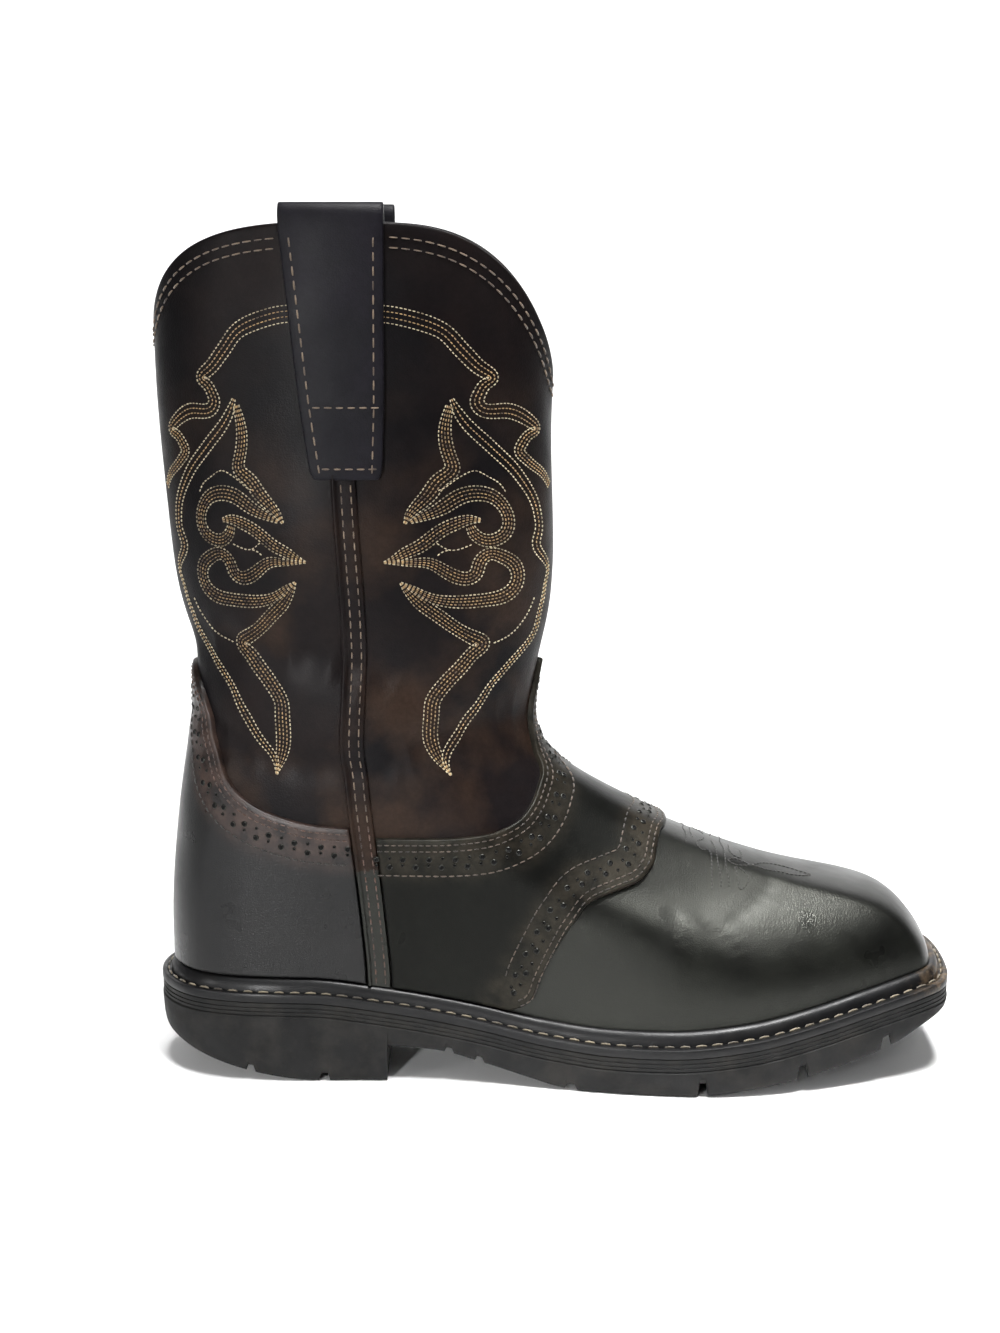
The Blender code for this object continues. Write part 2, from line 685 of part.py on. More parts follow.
def make_welt(parts):
    """The stitched welt with the rolled lip that stands against the upper."""
    turns = loop_turns()
    reach = margin(turns) - WELT_GAP
    rows = (
        (1.0, 0.0, -WELT_THICKNESS),
        (0.0, 0.0, -WELT_THICKNESS),
        (0.0, 0.0, -0.0005),
        (0.0, 0.0006, 0.0),
        (1.0, -LIP_WIDTH, 0.0),
        (1.0, -LIP_WIDTH * 0.86, LIP_HEIGHT * 0.55),
        (1.0, -LIP_WIDTH * 0.50, LIP_HEIGHT * 0.93),
        (1.0, 0.0, LIP_HEIGHT),
    )
    rings = []
    for share, shift, lift in rows:
        inset = share * reach + shift
        xy = inset_outline(turns, inset)
        z = welt_height(xy[:, 0]) + lift
        rings.append(np.concatenate([xy, z[:, None]], 1))
    count = len(turns)
    faces = grid_faces(len(rings) + 1, count, True)
    size = len(rings) * count
    faces = [tuple(v % size for v in face) for face in faces]
    return make_object("welt", world(np.concatenate(rings)), faces, parts)


def make_upper(parts):
    """The upper's wall, open at the collar and under the foot."""
    turns = loop_turns()
    outside = skin(turns[None, :], RISES[:, None])
    faces = grid_faces(len(RISES), len(turns), True)
    wall = make_object("upper", world(outside.reshape(-1, 3)), faces, parts)
    shell = wall.modifiers.new("leather", "SOLIDIFY")
    shell.thickness = LEATHER
    shell.offset = -1
    shell.use_even_offset = True
    return wall


def over_facets(turn, rise, lift):
    """Points lifted off the upper's flat facets, straight between the rows of its grid."""
    below = np.clip(np.searchsorted(RISES, rise, side="right") - 1, 0, len(RISES) - 2)
    share = ((rise - RISES[below]) / (RISES[1] - RISES[0]))[..., None]
    return lifted(turn, RISES[below], lift) * (1 - share) + lifted(turn, RISES[below + 1], lift) * share


def clipped_rises(low, high):
    """The upper's own grid heights at each turn, kept between a piece's two edges."""
    near = (RISES[1] - RISES[0]) * 0.3
    rise = np.clip(RISES[:, None], low, high)
    rise = np.where(np.abs(rise - low) < near, low, rise)
    return np.where(np.abs(rise - high) < near, high, rise)


def patch(name, turns, rise, base, thickness, collection):
    """A piece of leather on the upper, from grids of turns and rises that follow the upper's own."""
    used = [0] + [i for i in range(1, len(rise)) if np.abs(rise[i] - rise[i - 1]).max() > 1e-9]
    turns, rise = turns[used], rise[used]
    inside = over_facets(turns, rise, base)
    outside = over_facets(turns, rise, base + thickness)
    return slab_solid(name, inside, outside, collection)


def seam_half_turn(turn, rise):
    """Half the side seam's width, as a part of a turn."""
    small = 0.01
    across = np.linalg.norm(skin(turn + small, rise) - skin(turn - small, rise), axis=-1)
    return (SEAM_WIDTH / 2 + GAP) / across * 2 * small


def make_counter(parts):
    """The heel's cover, from one side seam round the back to the other."""
    turns = np.concatenate([[-SEAM_TURN], -HEEL_TURNS[:0:-1], HEEL_TURNS, [SEAM_TURN]])
    rise = clipped_rises(rise_at(turns, lip_height(turns)), foot_edge_rise(turns))
    place = np.broadcast_to(turns, rise.shape).copy()
    room = seam_half_turn(np.full(len(rise), SEAM_TURN), rise[:, 0])
    place[:, 0] += room
    place[:, -1] -= room
    return patch("counter", place, rise, OVERLAY_GAP, OVERLAY, parts)


def make_saddle(parts):
    """The cover over the instep, from the side seams to its winged front edge."""
    start = SEAM_TURN + 1e-6
    around = np.concatenate([[start], FRONT_TURNS, -FRONT_TURNS[-2::-1], [-start]])
    rise = clipped_rises(rise_at(around, wing_height(around)), foot_edge_rise(around))
    place = np.broadcast_to(around, rise.shape).copy()
    room = seam_half_turn(np.full(len(rise), SEAM_TURN), rise[:, 0])
    place[:, 0] += room
    place[:, -1] -= room
    return patch("saddle", place, rise, OVERLAY_GAP, OVERLAY, parts)


def make_side_seam(side, parts):
    """The raised strip over a side seam, from the pull strap down to the welt."""
    middle = side * SEAM_TURN
    low = float(rise_at(middle, lip_height(np.array(middle))))
    high = float(rise_at(np.array(middle), STRAP_END - GAP * 3))
    rises = np.unique(clipped_rises(np.array([low]), np.array([high])))
    half = seam_half_turn(np.full(len(rises), middle), rises) * SEAM_WIDTH / (SEAM_WIDTH + 2 * GAP)
    turns = middle + half[:, None] * np.array([-1, 0, 1])[None, :]
    grid = np.broadcast_to(rises[:, None], turns.shape)
    inside = over_facets(turns, grid, GAP)
    outside = over_facets(turns, grid, GAP + SEAM_THICKNESS)
    name = "side_seam_outer" if side < 0 else "side_seam_inner"
    return slab_solid(name, inside, outside, parts)


def strap_heights():
    """Heights of the strap's cross rows: up its outer side, then down inside the shaft."""
    top = COLLAR_HEIGHT - STRAP_TURN
    outer = np.concatenate([np.linspace(STRAP_END, STRAP_SEAM, 4), np.linspace(STRAP_SEAM, top, 6)[1:]])
    return [(z, "out") for z in outer] + [(z, "in") for z in np.linspace(top, STRAP_INSIDE_END, 5)]


def strap_width(z):
    """Width of the strap at a height on its outer side."""
    knots = (STRAP_END, STRAP_END + 0.003, STRAP_SEAM, COLLAR_HEIGHT)
    return np.interp(z, knots, (STRAP_TIP - 0.003, STRAP_TIP, STRAP_WAIST, STRAP_WIDTH))


def make_pull_strap(side, parts):
    """A doubled leather strap, sewn outside and inside the shaft, that stands over the collar as a loop."""
    across = np.linspace(-0.5, 0.5, 5)
    rows = strap_heights()
    middle = SHAFT_START + SHAFT_DEPTH * STRAP_PLACE

    def shaft_y(x, z):
        back = leg(0.0, z, 1.0)[0]
        front = leg(180.0, z, 1.0)[0]
        half = leg(90.0, z, 1.0)[1]
        cosine = ((back + front) / 2 - x) / ((front - back) / 2)
        return half * math.sqrt(max(0.0, 1 - cosine**2))

    def row_points(z, where, lift):
        width = float(strap_width(z)) if where == "out" else STRAP_WIDTH
        centre = middle + STRAP_LEAN * (COLLAR_HEIGHT - z) / (COLLAR_HEIGHT - STRAP_END)
        points = []
        for a in across:
            x = centre + a * width
            if where == "out":
                y = shaft_y(x, z) + GAP + lift
            else:
                y = shaft_y(x, z) - STRAP_WALL - GAP - lift
            points.append((x, side * y, z))
        return points

    def arch_points(turned, lift):
        points = []
        base = COLLAR_HEIGHT + 0.0008
        for a in across:
            x = middle + a * STRAP_WIDTH
            wall = shaft_y(x, COLLAR_HEIGHT)
            outer, inner = wall + GAP, wall - STRAP_WALL - GAP
            centre, radius = (outer + inner) / 2, (outer - inner) / 2
            rise = STRAP_TOP - STRAP_THICKNESS - base
            y = centre + (radius + lift) * math.cos(turned)
            points.append((x, side * y, base + (rise + lift) * math.sin(turned) ** 0.9))
        return points

    layers = []
    for lift in (0.0, STRAP_THICKNESS):
        grid = [row_points(z, where, lift) for z, where in rows if where == "out"]
        grid += [arch_points(turned, lift) for turned in np.linspace(0, math.pi, 7)[1:-1]]
        grid += [row_points(z, where, lift) for z, where in rows if where == "in"]
        layers.append(np.array(grid))
    name = "pull_strap_outer" if side < 0 else "pull_strap_inner"
    return slab_solid(name, layers[0], layers[1], parts)


def material(name, colour, roughness, metallic=0.0):
    """A plain finish for one kind of piece."""
    made = bpy.data.materials.new(name)
    made.use_nodes = True
    shader = made.node_tree.nodes["Principled BSDF"]
    shader.inputs["Base Color"].default_value = (*colour, 1.0)
    shader.inputs["Roughness"].default_value = roughness
    shader.inputs["Metallic"].default_value = metallic
    return made


def main():
    """Builds the boot in its own collection."""
    for old in list(bpy.data.objects):
        bpy.data.objects.remove(old)
    parts = bpy.data.collections.new("western_work_boot")
    helpers = bpy.data.collections.new("cutters")
    bpy.context.scene.collection.children.link(parts)
    bpy.context.scene.collection.children.link(helpers)
    shaft = material("oiled_brown_leather", LEATHER_BROWN, 0.55)
    foot = material("smooth_dark_leather", LEATHER_DARK, 0.42)
    lining = material("tan_footbed", LEATHER_TAN, 0.8)
    rubber = material("black_rubber", RUBBER_BLACK, 0.75)
    edge = material("black_welt", WELT_BLACK, 0.4)
    finishes = (
        (make_outsole(parts, helpers), rubber),
        (make_midsole(parts), rubber),
        (make_insole(parts), lining),
        (make_welt(parts), edge),
        (make_upper(parts), shaft),
        (make_counter(parts), foot),
        (make_saddle(parts), foot),
        (make_side_seam(-1, parts), foot),
        (make_side_seam(1, parts), foot),
        (make_pull_strap(-1, parts), shaft),
        (make_pull_strap(1, parts), shaft),
    )
    for piece, finish in finishes:
        piece.data.materials.append(finish)


main()
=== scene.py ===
"""Looks of the western work boot: its fine surfaces, stitching, finishes, camera and light."""

import math

import bmesh
import bpy
import numpy as np
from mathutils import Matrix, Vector
from mathutils.kdtree import KDTree

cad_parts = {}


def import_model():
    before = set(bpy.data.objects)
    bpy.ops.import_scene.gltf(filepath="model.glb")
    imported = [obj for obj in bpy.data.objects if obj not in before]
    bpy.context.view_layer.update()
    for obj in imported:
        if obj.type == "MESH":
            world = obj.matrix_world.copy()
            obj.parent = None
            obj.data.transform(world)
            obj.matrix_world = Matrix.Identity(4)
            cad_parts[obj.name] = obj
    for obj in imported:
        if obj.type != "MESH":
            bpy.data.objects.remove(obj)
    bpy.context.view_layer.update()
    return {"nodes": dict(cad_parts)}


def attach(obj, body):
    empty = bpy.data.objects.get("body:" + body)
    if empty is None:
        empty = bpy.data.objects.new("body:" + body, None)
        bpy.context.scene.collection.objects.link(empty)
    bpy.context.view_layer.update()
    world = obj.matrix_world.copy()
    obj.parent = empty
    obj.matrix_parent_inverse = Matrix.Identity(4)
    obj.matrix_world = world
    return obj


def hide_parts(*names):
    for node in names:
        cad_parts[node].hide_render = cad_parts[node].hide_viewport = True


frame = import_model()

# Steps of the upper's table, round the boot and up it
TURN_STEPS = 1000
RISE_STEPS = 600

# Sole
SOLE_LENGTH = 0.310
BALL_WIDTH = 0.111
HEEL_HEIGHT = 0.0350  # ground to the welt's top face, under the heel
BALL_HEIGHT = 0.0182  # ground to the welt's top face, under the ball
TOE_SPRING = 0.0195  # how far the welt rises from the ball to the toe
HEEL_BLOCK_LENGTH = 0.090
HEEL_ROLL_LENGTH = 0.062  # the heel's tread rolls up behind this
HEEL_ROLL_HEIGHT = 0.0145
WAIST_HEIGHT = 0.014  # ground to the tread just in front of the heel
TREAD_SPRING = 0.022  # ground to the tread near the toe
WELT_THICKNESS = 0.0034
MIDSOLE_THICKNESS = 0.0053
CHANNEL_WIDTH = 0.0032  # the two grooves that run along the tread
CHANNEL_DEPTH = 0.0032
CHANNEL_OFFSET = 0.0165

# Welt
HEEL_MARGIN = 0.0070  # from the upper to the sole's edge
BALL_MARGIN = 0.0088
LIP_HEIGHT = 0.0046  # the rolled storm lip against the upper
LIP_WIDTH = 0.0036

# Upper
LEATHER = 0.0022
OVERLAY = 0.0016
COLLAR_HEIGHT = 0.3212  # ground to the collar beside the pull straps
FRONT_DIP = 0.056  # how far the collar drops at the front
BACK_DIP = 0.037  # and at the back
DIP_ROUND = 0.08  # rounding of each dip's lowest point
FRONT_DIP_POWER = 1.22
BACK_DIP_POWER = 1.62
ANKLE_HEIGHT = 0.133
SHAFT_DEPTH = 0.149  # front to back near the collar
SHAFT_WIDTH = 0.089  # side to side near the collar
SHAFT_START = 0.0036  # the back of the shaft near the collar, from the sole's back end
COUNTER_TOP = 0.158  # ground to the top of the counter's tongue
COUNTER_SIDE = 0.0987  # ground to the counter's top edge at the side seams
SADDLE_TOP = 0.159  # ground to the top of the saddle's tongue
SADDLE_SIDE = 0.0952  # ground to the saddle's top edge at the side seams
WING_PEAK = 0.0925  # ground to the middle of the saddle's front edge
SEAM_TURN = 0.37
SEAM_WIDTH = 0.0085
SEAM_THICKNESS = 0.0021

# Pull straps
STRAP_WIDTH = 0.0375
STRAP_WAIST = 0.0303  # width at the cross seam
STRAP_TIP = 0.0262  # width at the lower end
STRAP_THICKNESS = 0.0026
STRAP_TOP = COLLAR_HEIGHT + 0.0078  # ground to the top of the loop
STRAP_SEAM = COLLAR_HEIGHT - 0.0642  # ground to the cross seam
STRAP_END = COLLAR_HEIGHT - 0.0902  # ground to the lower end, outside the shaft
STRAP_INSIDE_END = COLLAR_HEIGHT - 0.0592  # ground to the lower end, inside the shaft
STRAP_PLACE = 0.4675  # the strap's middle, as a share of the shaft from back to front
STRAP_LEAN = 0.0045  # how far the strap's lower end stands ahead of its top
STRAP_WALL = LEATHER * 1.15  # the wall inside a strap, measured square to the strap

GAP = 0.0003
OVERLAY_GAP = 0.0005  # under the overlays, where the upper's flat faces meet at an angle

# Where the outline of the sole lies at each turn, as shares of its length and of half its ball width
# Columns: turn, along, outer, inner.
OUTLINE = (
    (0.00, 0.000, 0.00, 0.00),
    (0.06, 0.010, 0.27, 0.27),
    (0.12, 0.040, 0.50, 0.49),
    (0.19, 0.092, 0.64, 0.62),
    (0.27, 0.170, 0.69, 0.66),
    (0.37, 0.280, 0.69, 0.61),
    (0.47, 0.395, 0.745, 0.585),
    (0.56, 0.510, 0.870, 0.690),
    (0.64, 0.610, 0.975, 0.860),
    (0.71, 0.700, 1.000, 0.985),
    (0.77, 0.775, 0.950, 1.000),
    (0.83, 0.850, 0.840, 0.930),
    (0.88, 0.915, 0.720, 0.820),
    (0.915, 0.951, 0.630, 0.735),
    (0.94, 0.975, 0.530, 0.640),
    (0.965, 0.988, 0.350, 0.460),
    (1.00, 0.993, -0.06, 0.06),
)

# The welt's width round the boot: share of the way from its width at the heel to that at the ball
# Columns: turn, share.
MARGIN = ((0.0, 0.0), (0.37, 0.2), (0.70, 1.0), (0.90, 0.9), (1.00, -0.3))

# Height of the welt's top face along the sole: shares of the heel's rise and of the toe's spring
# Columns: along, heel rise, toe rise.
WELT_LINE = (
    (0.00, 1.00, 0.00),
    (0.19, 0.98, 0.00),
    (0.29, 0.76, 0.00),
    (0.40, 0.44, 0.00),
    (0.49, 0.14, 0.00),
    (0.56, 0.02, 0.00),
    (0.64, 0.00, 0.02),
    (0.73, 0.00, 0.16),
    (0.82, 0.00, 0.44),
    (0.87, 0.00, 0.63),
    (0.92, 0.00, 0.81),
    (0.97, 0.00, 0.96),
    (1.01, 0.00, 1.04),
)

# Height of the tread in front of the heel: shares of the waist's height and of the tread's spring
# Columns: along, waist, spring.
TREAD_LINE = (
    (0.290, 1.00, 0.00),
    (0.350, 0.90, 0.00),
    (0.413, 0.57, 0.00),
    (0.458, 0.30, 0.00),
    (0.503, 0.06, 0.00),
    (0.532, 0.00, 0.00),
    (0.660, 0.00, 0.00),
    (0.730, 0.00, 0.10),
    (0.794, 0.00, 0.25),
    (0.855, 0.00, 0.44),
    (0.916, 0.00, 0.71),
    (0.955, 0.00, 0.97),
    (1.000, 0.00, 1.22),
)

# Grooves across the tread
# Columns: along the sole, width, depth.
GROOVES = (
    (0.121, 0.0036, 0.0024),
    (0.213, 0.0040, 0.0028),
    (0.366, 0.0036, 0.0018),
    (0.403, 0.0036, 0.0018),
    (0.5145, 0.0046, 0.0020),
    (0.674, 0.0042, 0.0052),
    (0.797, 0.0044, 0.0050),
    (0.903, 0.0044, 0.0044),
)
GROOVE_TAPER = 0.55  # a groove's floor over its mouth

# Loops of the foot between the feather line (0, 0) and the ankle (1, 1). At the heel's back, the side
# seam, the ball, the toe's corner and its tip, each has its share of the way in and of the way up.
FOOT_TURNS = (0.0, SEAM_TURN, 0.70, 0.92, 1.0)
# Columns: in and up at the back, the side, the ball, the corner and the tip.
FOOT_LOOPS = (
    (0.00, 0.065, 0.00, 0.065, 0.000, 0.065, 0.001, 0.045, 0.000, 0.050),
    (-0.01, 0.135, 0.02, 0.135, 0.000, 0.135, 0.006, 0.100, 0.005, 0.110),
    (-0.02, 0.210, 0.08, 0.210, 0.030, 0.210, 0.034, 0.188, 0.040, 0.210),
    (0.00, 0.300, 0.17, 0.300, 0.130, 0.300, 0.118, 0.288, 0.128, 0.328),
    (0.07, 0.400, 0.28, 0.400, 0.295, 0.390, 0.275, 0.360, 0.290, 0.397),
    (0.18, 0.500, 0.40, 0.500, 0.465, 0.475, 0.440, 0.430, 0.450, 0.464),
    (0.34, 0.620, 0.56, 0.620, 0.665, 0.588, 0.655, 0.574, 0.662, 0.589),
    (0.60, 0.780, 0.76, 0.780, 0.852, 0.752, 0.856, 0.742, 0.861, 0.748),
    (0.81, 0.885, 0.885, 0.885, 0.945, 0.868, 0.950, 0.858, 0.955, 0.860),
)

# Where on the shaft each turn arrives, in degrees round from the back
# Columns: turn, degrees.
LEG_ANGLE = (
    (0.00, 0.0),
    (0.12, 30.0),
    (0.25, 62.0),
    (0.37, 88.0),
    (0.50, 107.0),
    (0.62, 122.5),
    (0.74, 138.5),
    (0.85, 153.5),
    (0.93, 166.5),
    (1.00, 180.0),
)

# The shaft's back, front and half width at each height: shares of the collar's height, of the shaft's
# depth and of half its width
# Columns: height, back, front, half width.
SHAFT = (
    (0.413, 0.077, 0.953, 0.830),
    (0.470, 0.094, 0.958, 0.835),
    (0.500, 0.081, 0.970, 0.850),
    (0.545, 0.058, 0.991, 0.885),
    (0.600, 0.042, 1.000, 0.925),
    (0.700, 0.018, 1.001, 0.965),
    (0.780, 0.008, 0.999, 0.985),
    (0.840, 0.000, 1.004, 1.000),
    (0.900, 0.000, 1.000, 1.005),
    (1.000, 0.004, 0.994, 1.000),
)
SHAFT_LOOPS = 7

# The foot part's top edge: angle on the leg from its tongue's middle to the side seam, and the share
# of the drop from the tongue to the side, behind and in front
# Columns: degrees, back, front.
EDGE = (
    (0.0, 0.00, 0.000),
    (8.0, 0.03, 0.250),
    (16.0, 0.09, 0.520),
    (24.0, 0.19, 0.660),
    (32.0, 0.43, 0.750),
    (40.0, 0.66, 0.840),
    (50.0, 0.82, 0.930),
    (62.0, 0.92, 0.985),
    (75.0, 0.98, 1.000),
    (90.0, 1.00, 1.000),
)

# The saddle's winged front edge: share of the way up from the welt's lip to its peak on the instep
# Columns: turn, up.
WING = (
    (0.510, 0.000),
    (0.527, 0.075),
    (0.542, 0.232),
    (0.575, 0.430),
    (0.615, 0.567),
    (0.680, 0.690),
    (0.738, 0.721),
    (0.790, 0.742),
    (0.840, 0.805),
    (0.888, 0.906),
    (0.950, 0.990),
    (1.000, 1.000),
)


def columns(table):
    """A table's columns, each as an array."""
    return [np.array(column, float) for column in zip(*table)]


def spline(knots, values, ends="natural"):
    """A curve through the values, smooth to its second derivative. Its ends are natural, flat or a loop."""
    x = np.asarray(knots, float)
    y = np.asarray(values, float)
    flat_shape = y.shape[1:]
    y = y.reshape(len(x), -1)
    count = len(x)
    step = np.diff(x)
    slope = np.diff(y, axis=0) / step[:, None]
    matrix = np.zeros((count, count))
    right = np.zeros_like(y)
    for i in range(1, count - 1):
        matrix[i, i - 1 : i + 2] = step[i - 1], 2 * (step[i - 1] + step[i]), step[i]
        right[i] = 6 * (slope[i] - slope[i - 1])
    if ends == "natural":
        matrix[0, 0] = matrix[-1, -1] = 1
    elif ends == "flat":
        matrix[0, :2] = 2 * step[0], step[0]
        right[0] = 6 * slope[0]
        matrix[-1, -2:] = step[-1], 2 * step[-1]
        right[-1] = -6 * slope[-1]
    else:
        matrix[0, 0], matrix[0, -1] = 1, -1
        matrix[-1, 0] = 2 * (step[-1] + step[0])
        matrix[-1, 1] = step[0]
        matrix[-1, -2] = step[-1]
        right[-1] = 6 * (slope[0] - slope[-1])
    bend = np.linalg.solve(matrix, right)

    def at(where):
        where = np.asarray(where, float)
        flat = where.ravel()
        if ends == "loop":
            flat = x[0] + np.mod(flat - x[0], x[-1] - x[0])
        i = np.clip(np.searchsorted(x, flat) - 1, 0, count - 2)
        h = step[i][:, None]
        a = (x[i + 1] - flat)[:, None] / h
        b = 1 - a
        found = a * y[i] + b * y[i + 1]
        found += ((a**3 - a) * bend[i] + (b**3 - b) * bend[i + 1]) * h**2 / 6
        return found.reshape(where.shape + flat_shape)

    return at


def steady(knots, values):
    """A curve through the values that never overshoots them, for heights that hold flat spots."""
    x = np.asarray(knots, float)
    y = np.asarray(values, float)
    step = np.diff(x)
    slope = np.diff(y) / step
    tangent = np.zeros_like(y)
    for i in range(1, len(x) - 1):
        if slope[i - 1] * slope[i] > 0:
            before = 2 * step[i] + step[i - 1]
            after = step[i] + 2 * step[i - 1]
            tangent[i] = (before + after) / (before / slope[i - 1] + after / slope[i])
    tangent[0], tangent[-1] = slope[0], slope[-1]

    def at(where):
        where = np.clip(np.asarray(where, float), x[0], x[-1])
        i = np.clip(np.searchsorted(x, where) - 1, 0, len(x) - 2)
        h = step[i]
        t = (where - x[i]) / h
        rise = y[i] * (1 + 2 * t) * (1 - t) ** 2 + y[i + 1] * t**2 * (3 - 2 * t)
        return rise + h * (tangent[i] * t * (1 - t) ** 2 - tangent[i + 1] * t**2 * (1 - t))

    return at


def make_outline():
    """The sole's edge seen from above, as a loop over the turns from -1 to 1."""
    turn, along, outer, inner = columns(OUTLINE)
    half = BALL_WIDTH / 2
    turns = np.concatenate([-turn[::-1], turn[1:]])
    x = np.concatenate([along[::-1], along[1:]]) * SOLE_LENGTH
    y = np.concatenate([-outer[::-1], inner[1:]]) * half
    return spline(turns, np.stack([x, y], 1), "loop")


outline = make_outline()


def bounds_middle():
    """The middle of the sole's outline, which becomes the origin."""
    points = outline(np.linspace(-1, 1, 2001))
    return (points.min(0) + points.max(0)) / 2


MIDDLE = bounds_middle()


def welt_height(x):
    """Height of the welt's top face, x measured from the sole's back end."""
    along, heel, toe = columns(WELT_LINE)
    x = np.asarray(x, float) / SOLE_LENGTH
    heel_part = steady(along, heel)(x) * (HEEL_HEIGHT - BALL_HEIGHT)
    return BALL_HEIGHT + heel_part + steady(along, toe)(x) * TOE_SPRING


def tread_height(x):
    """Height of the tread's surface between its grooves."""
    along, waist, spring = columns(TREAD_LINE)
    x = np.asarray(x, float)
    front = steady(along, waist)(x / SOLE_LENGTH) * WAIST_HEIGHT
    front += steady(along, spring)(x / SOLE_LENGTH) * TREAD_SPRING
    roll = np.clip(1 - x / HEEL_ROLL_LENGTH, 0, 1) ** 1.6 * HEEL_ROLL_HEIGHT
    return np.where(x <= HEEL_BLOCK_LENGTH, roll, front)


def inset_outline(turn, inset):
    """The sole's outline moved inwards by inset, square to its edge."""
    small = 1e-4  # of a turn, to either side
    turn = np.asarray(turn, float)
    along = outline(turn + small) - outline(turn - small)
    along /= np.linalg.norm(along, axis=-1, keepdims=True)
    inwards = np.stack([along[..., 1], -along[..., 0]], -1)
    return outline(turn) + inwards * np.asarray(inset, float)[..., None]


def margin(turn):
    """Width of the welt that shows outside the upper."""
    turns, share = columns(MARGIN)
    return HEEL_MARGIN + (BALL_MARGIN - HEEL_MARGIN) * steady(turns, share)(np.abs(turn))


def leg(angle, z, side):
    """A point on the shaft, angle in degrees round from its back."""
    height, back, front, half = columns(SHAFT)
    share = np.asarray(z, float) / COLLAR_HEIGHT
    back_x = SHAFT_START + spline(height, back)(share) * SHAFT_DEPTH
    front_x = SHAFT_START + spline(height, front)(share) * SHAFT_DEPTH
    half_y = spline(height, half)(share) * SHAFT_WIDTH / 2
    angle = np.radians(angle)
    x = (back_x + front_x) / 2 - (front_x - back_x) / 2 * np.cos(angle)
    return np.stack([x, side * half_y * np.sin(angle), z + 0 * x], -1)


def collar_height(angle):
    """Height of the collar's edge, with its dip at the front and the back."""
    angle = np.radians(angle)
    across = np.sqrt(np.sin(angle) ** 2 + DIP_ROUND**2) - DIP_ROUND
    forward = (1 - np.cos(angle)) / 2
    power = BACK_DIP_POWER + (FRONT_DIP_POWER - BACK_DIP_POWER) * forward
    dip = BACK_DIP + (FRONT_DIP - BACK_DIP) * forward
    return COLLAR_HEIGHT - dip * np.clip(1 - across / (1 - DIP_ROUND), 0, 1) ** power


def leg_angle(turn):
    """Degrees round the shaft, from its back, at a turn from 0 to 1."""
    return spline(*columns(LEG_ANGLE))(np.abs(turn))


def meridian_points(turn):
    """The points that each turn's line over the upper passes through, from feather line to collar."""
    turn = np.asarray(turn, float)
    side = np.where(turn < 0, -1.0, 1.0)
    amount = np.abs(turn)
    feather_xy = inset_outline(turn, margin(turn))
    feather_z = welt_height(feather_xy[..., 0]) - WELT_THICKNESS
    angle = leg_angle(turn)
    ankle = leg(angle, ANKLE_HEIGHT + 0 * angle, side)
    levels = [np.concatenate([feather_xy, feather_z[..., None]], -1)]
    for row in FOOT_LOOPS:
        inward = spline(FOOT_TURNS, row[0::2], "flat")(amount)[..., None]
        upward = spline(FOOT_TURNS, row[1::2], "flat")(amount)
        xy = feather_xy + (ankle[..., :2] - feather_xy) * inward
        z = feather_z + (ankle[..., 2] - feather_z) * upward
        levels.append(np.concatenate([xy, z[..., None]], -1))
    top = collar_height(angle)
    for level in range(SHAFT_LOOPS):
        z = ANKLE_HEIGHT + (top - ANKLE_HEIGHT) * level / (SHAFT_LOOPS - 1)
        levels.append(leg(angle, z, side))
    return np.stack(levels)


def skin_table():
    """The upper's outer face at even steps of rise and turn, with its way outwards at each point."""
    turns = np.linspace(-1, 1, TURN_STEPS + 1)
    levels = meridian_points(turns)
    grid = spline(np.linspace(0, 1, len(levels)), levels)(np.linspace(0, 1, RISE_STEPS + 1))
    out = outward(grid)
    out[:, 0] = out[:, -1] = (out[:, 0] + out[:, -1]) / 2
    return grid, out


def read_table(table, turn, rise):
    """A value of the table between its steps."""
    turn, rise = np.broadcast_arrays(np.asarray(turn, float), np.asarray(rise, float))
    u = np.mod(turn + 1, 2) / 2 * TURN_STEPS
    v = np.clip(rise, 0, 1) * RISE_STEPS
    j = np.minimum(u.astype(int), TURN_STEPS - 1)
    i = np.minimum(v.astype(int), RISE_STEPS - 1)
    a, b = (v - i)[..., None], (u - j)[..., None]
    low = table[i, j] * (1 - b) + table[i, j + 1] * b
    high = table[i + 1, j] * (1 - b) + table[i + 1, j + 1] * b
    return low * (1 - a) + high * a


def skin(turn, rise):
    """Points of the upper's outer face."""
    return read_table(SKIN, turn, rise)


def lifted(turn, rise, lift):
    """Points of the upper's outer face moved outwards by lift, square to it."""
    out = read_table(SKIN_OUT, turn, rise)
    out = out / np.linalg.norm(out, axis=-1, keepdims=True)
    return read_table(SKIN, turn, rise) + out * np.asarray(lift, float)[..., None]


def rise_at(turn, height):
    """How far up a turn's line the outer face first reaches a height."""
    turn, height = np.broadcast_arrays(np.asarray(turn, float), np.asarray(height, float))
    low = np.zeros(turn.shape)
    high = np.ones(turn.shape)
    for _ in range(22):
        middle = (low + high) / 2
        above = skin(turn, middle)[..., 2] > height
        high = np.where(above, middle, high)
        low = np.where(above, low, middle)
    return (low + high) / 2


def foot_edge_height(turn):
    """Height of the foot part's top edge, with its tongues up the front and the back of the shaft."""
    angle = leg_angle(turn)
    degrees, back, front = columns(EDGE)
    behind = COUNTER_TOP - (COUNTER_TOP - COUNTER_SIDE) * steady(degrees, back)(angle)
    ahead = SADDLE_TOP - (SADDLE_TOP - SADDLE_SIDE) * steady(degrees, front)(180 - angle)
    return np.where(np.abs(turn) <= SEAM_TURN, behind, ahead)


def foot_edge_rise(turn):
    """How far up each turn's line the foot part's top edge lies."""
    return rise_at(turn, foot_edge_height(turn))


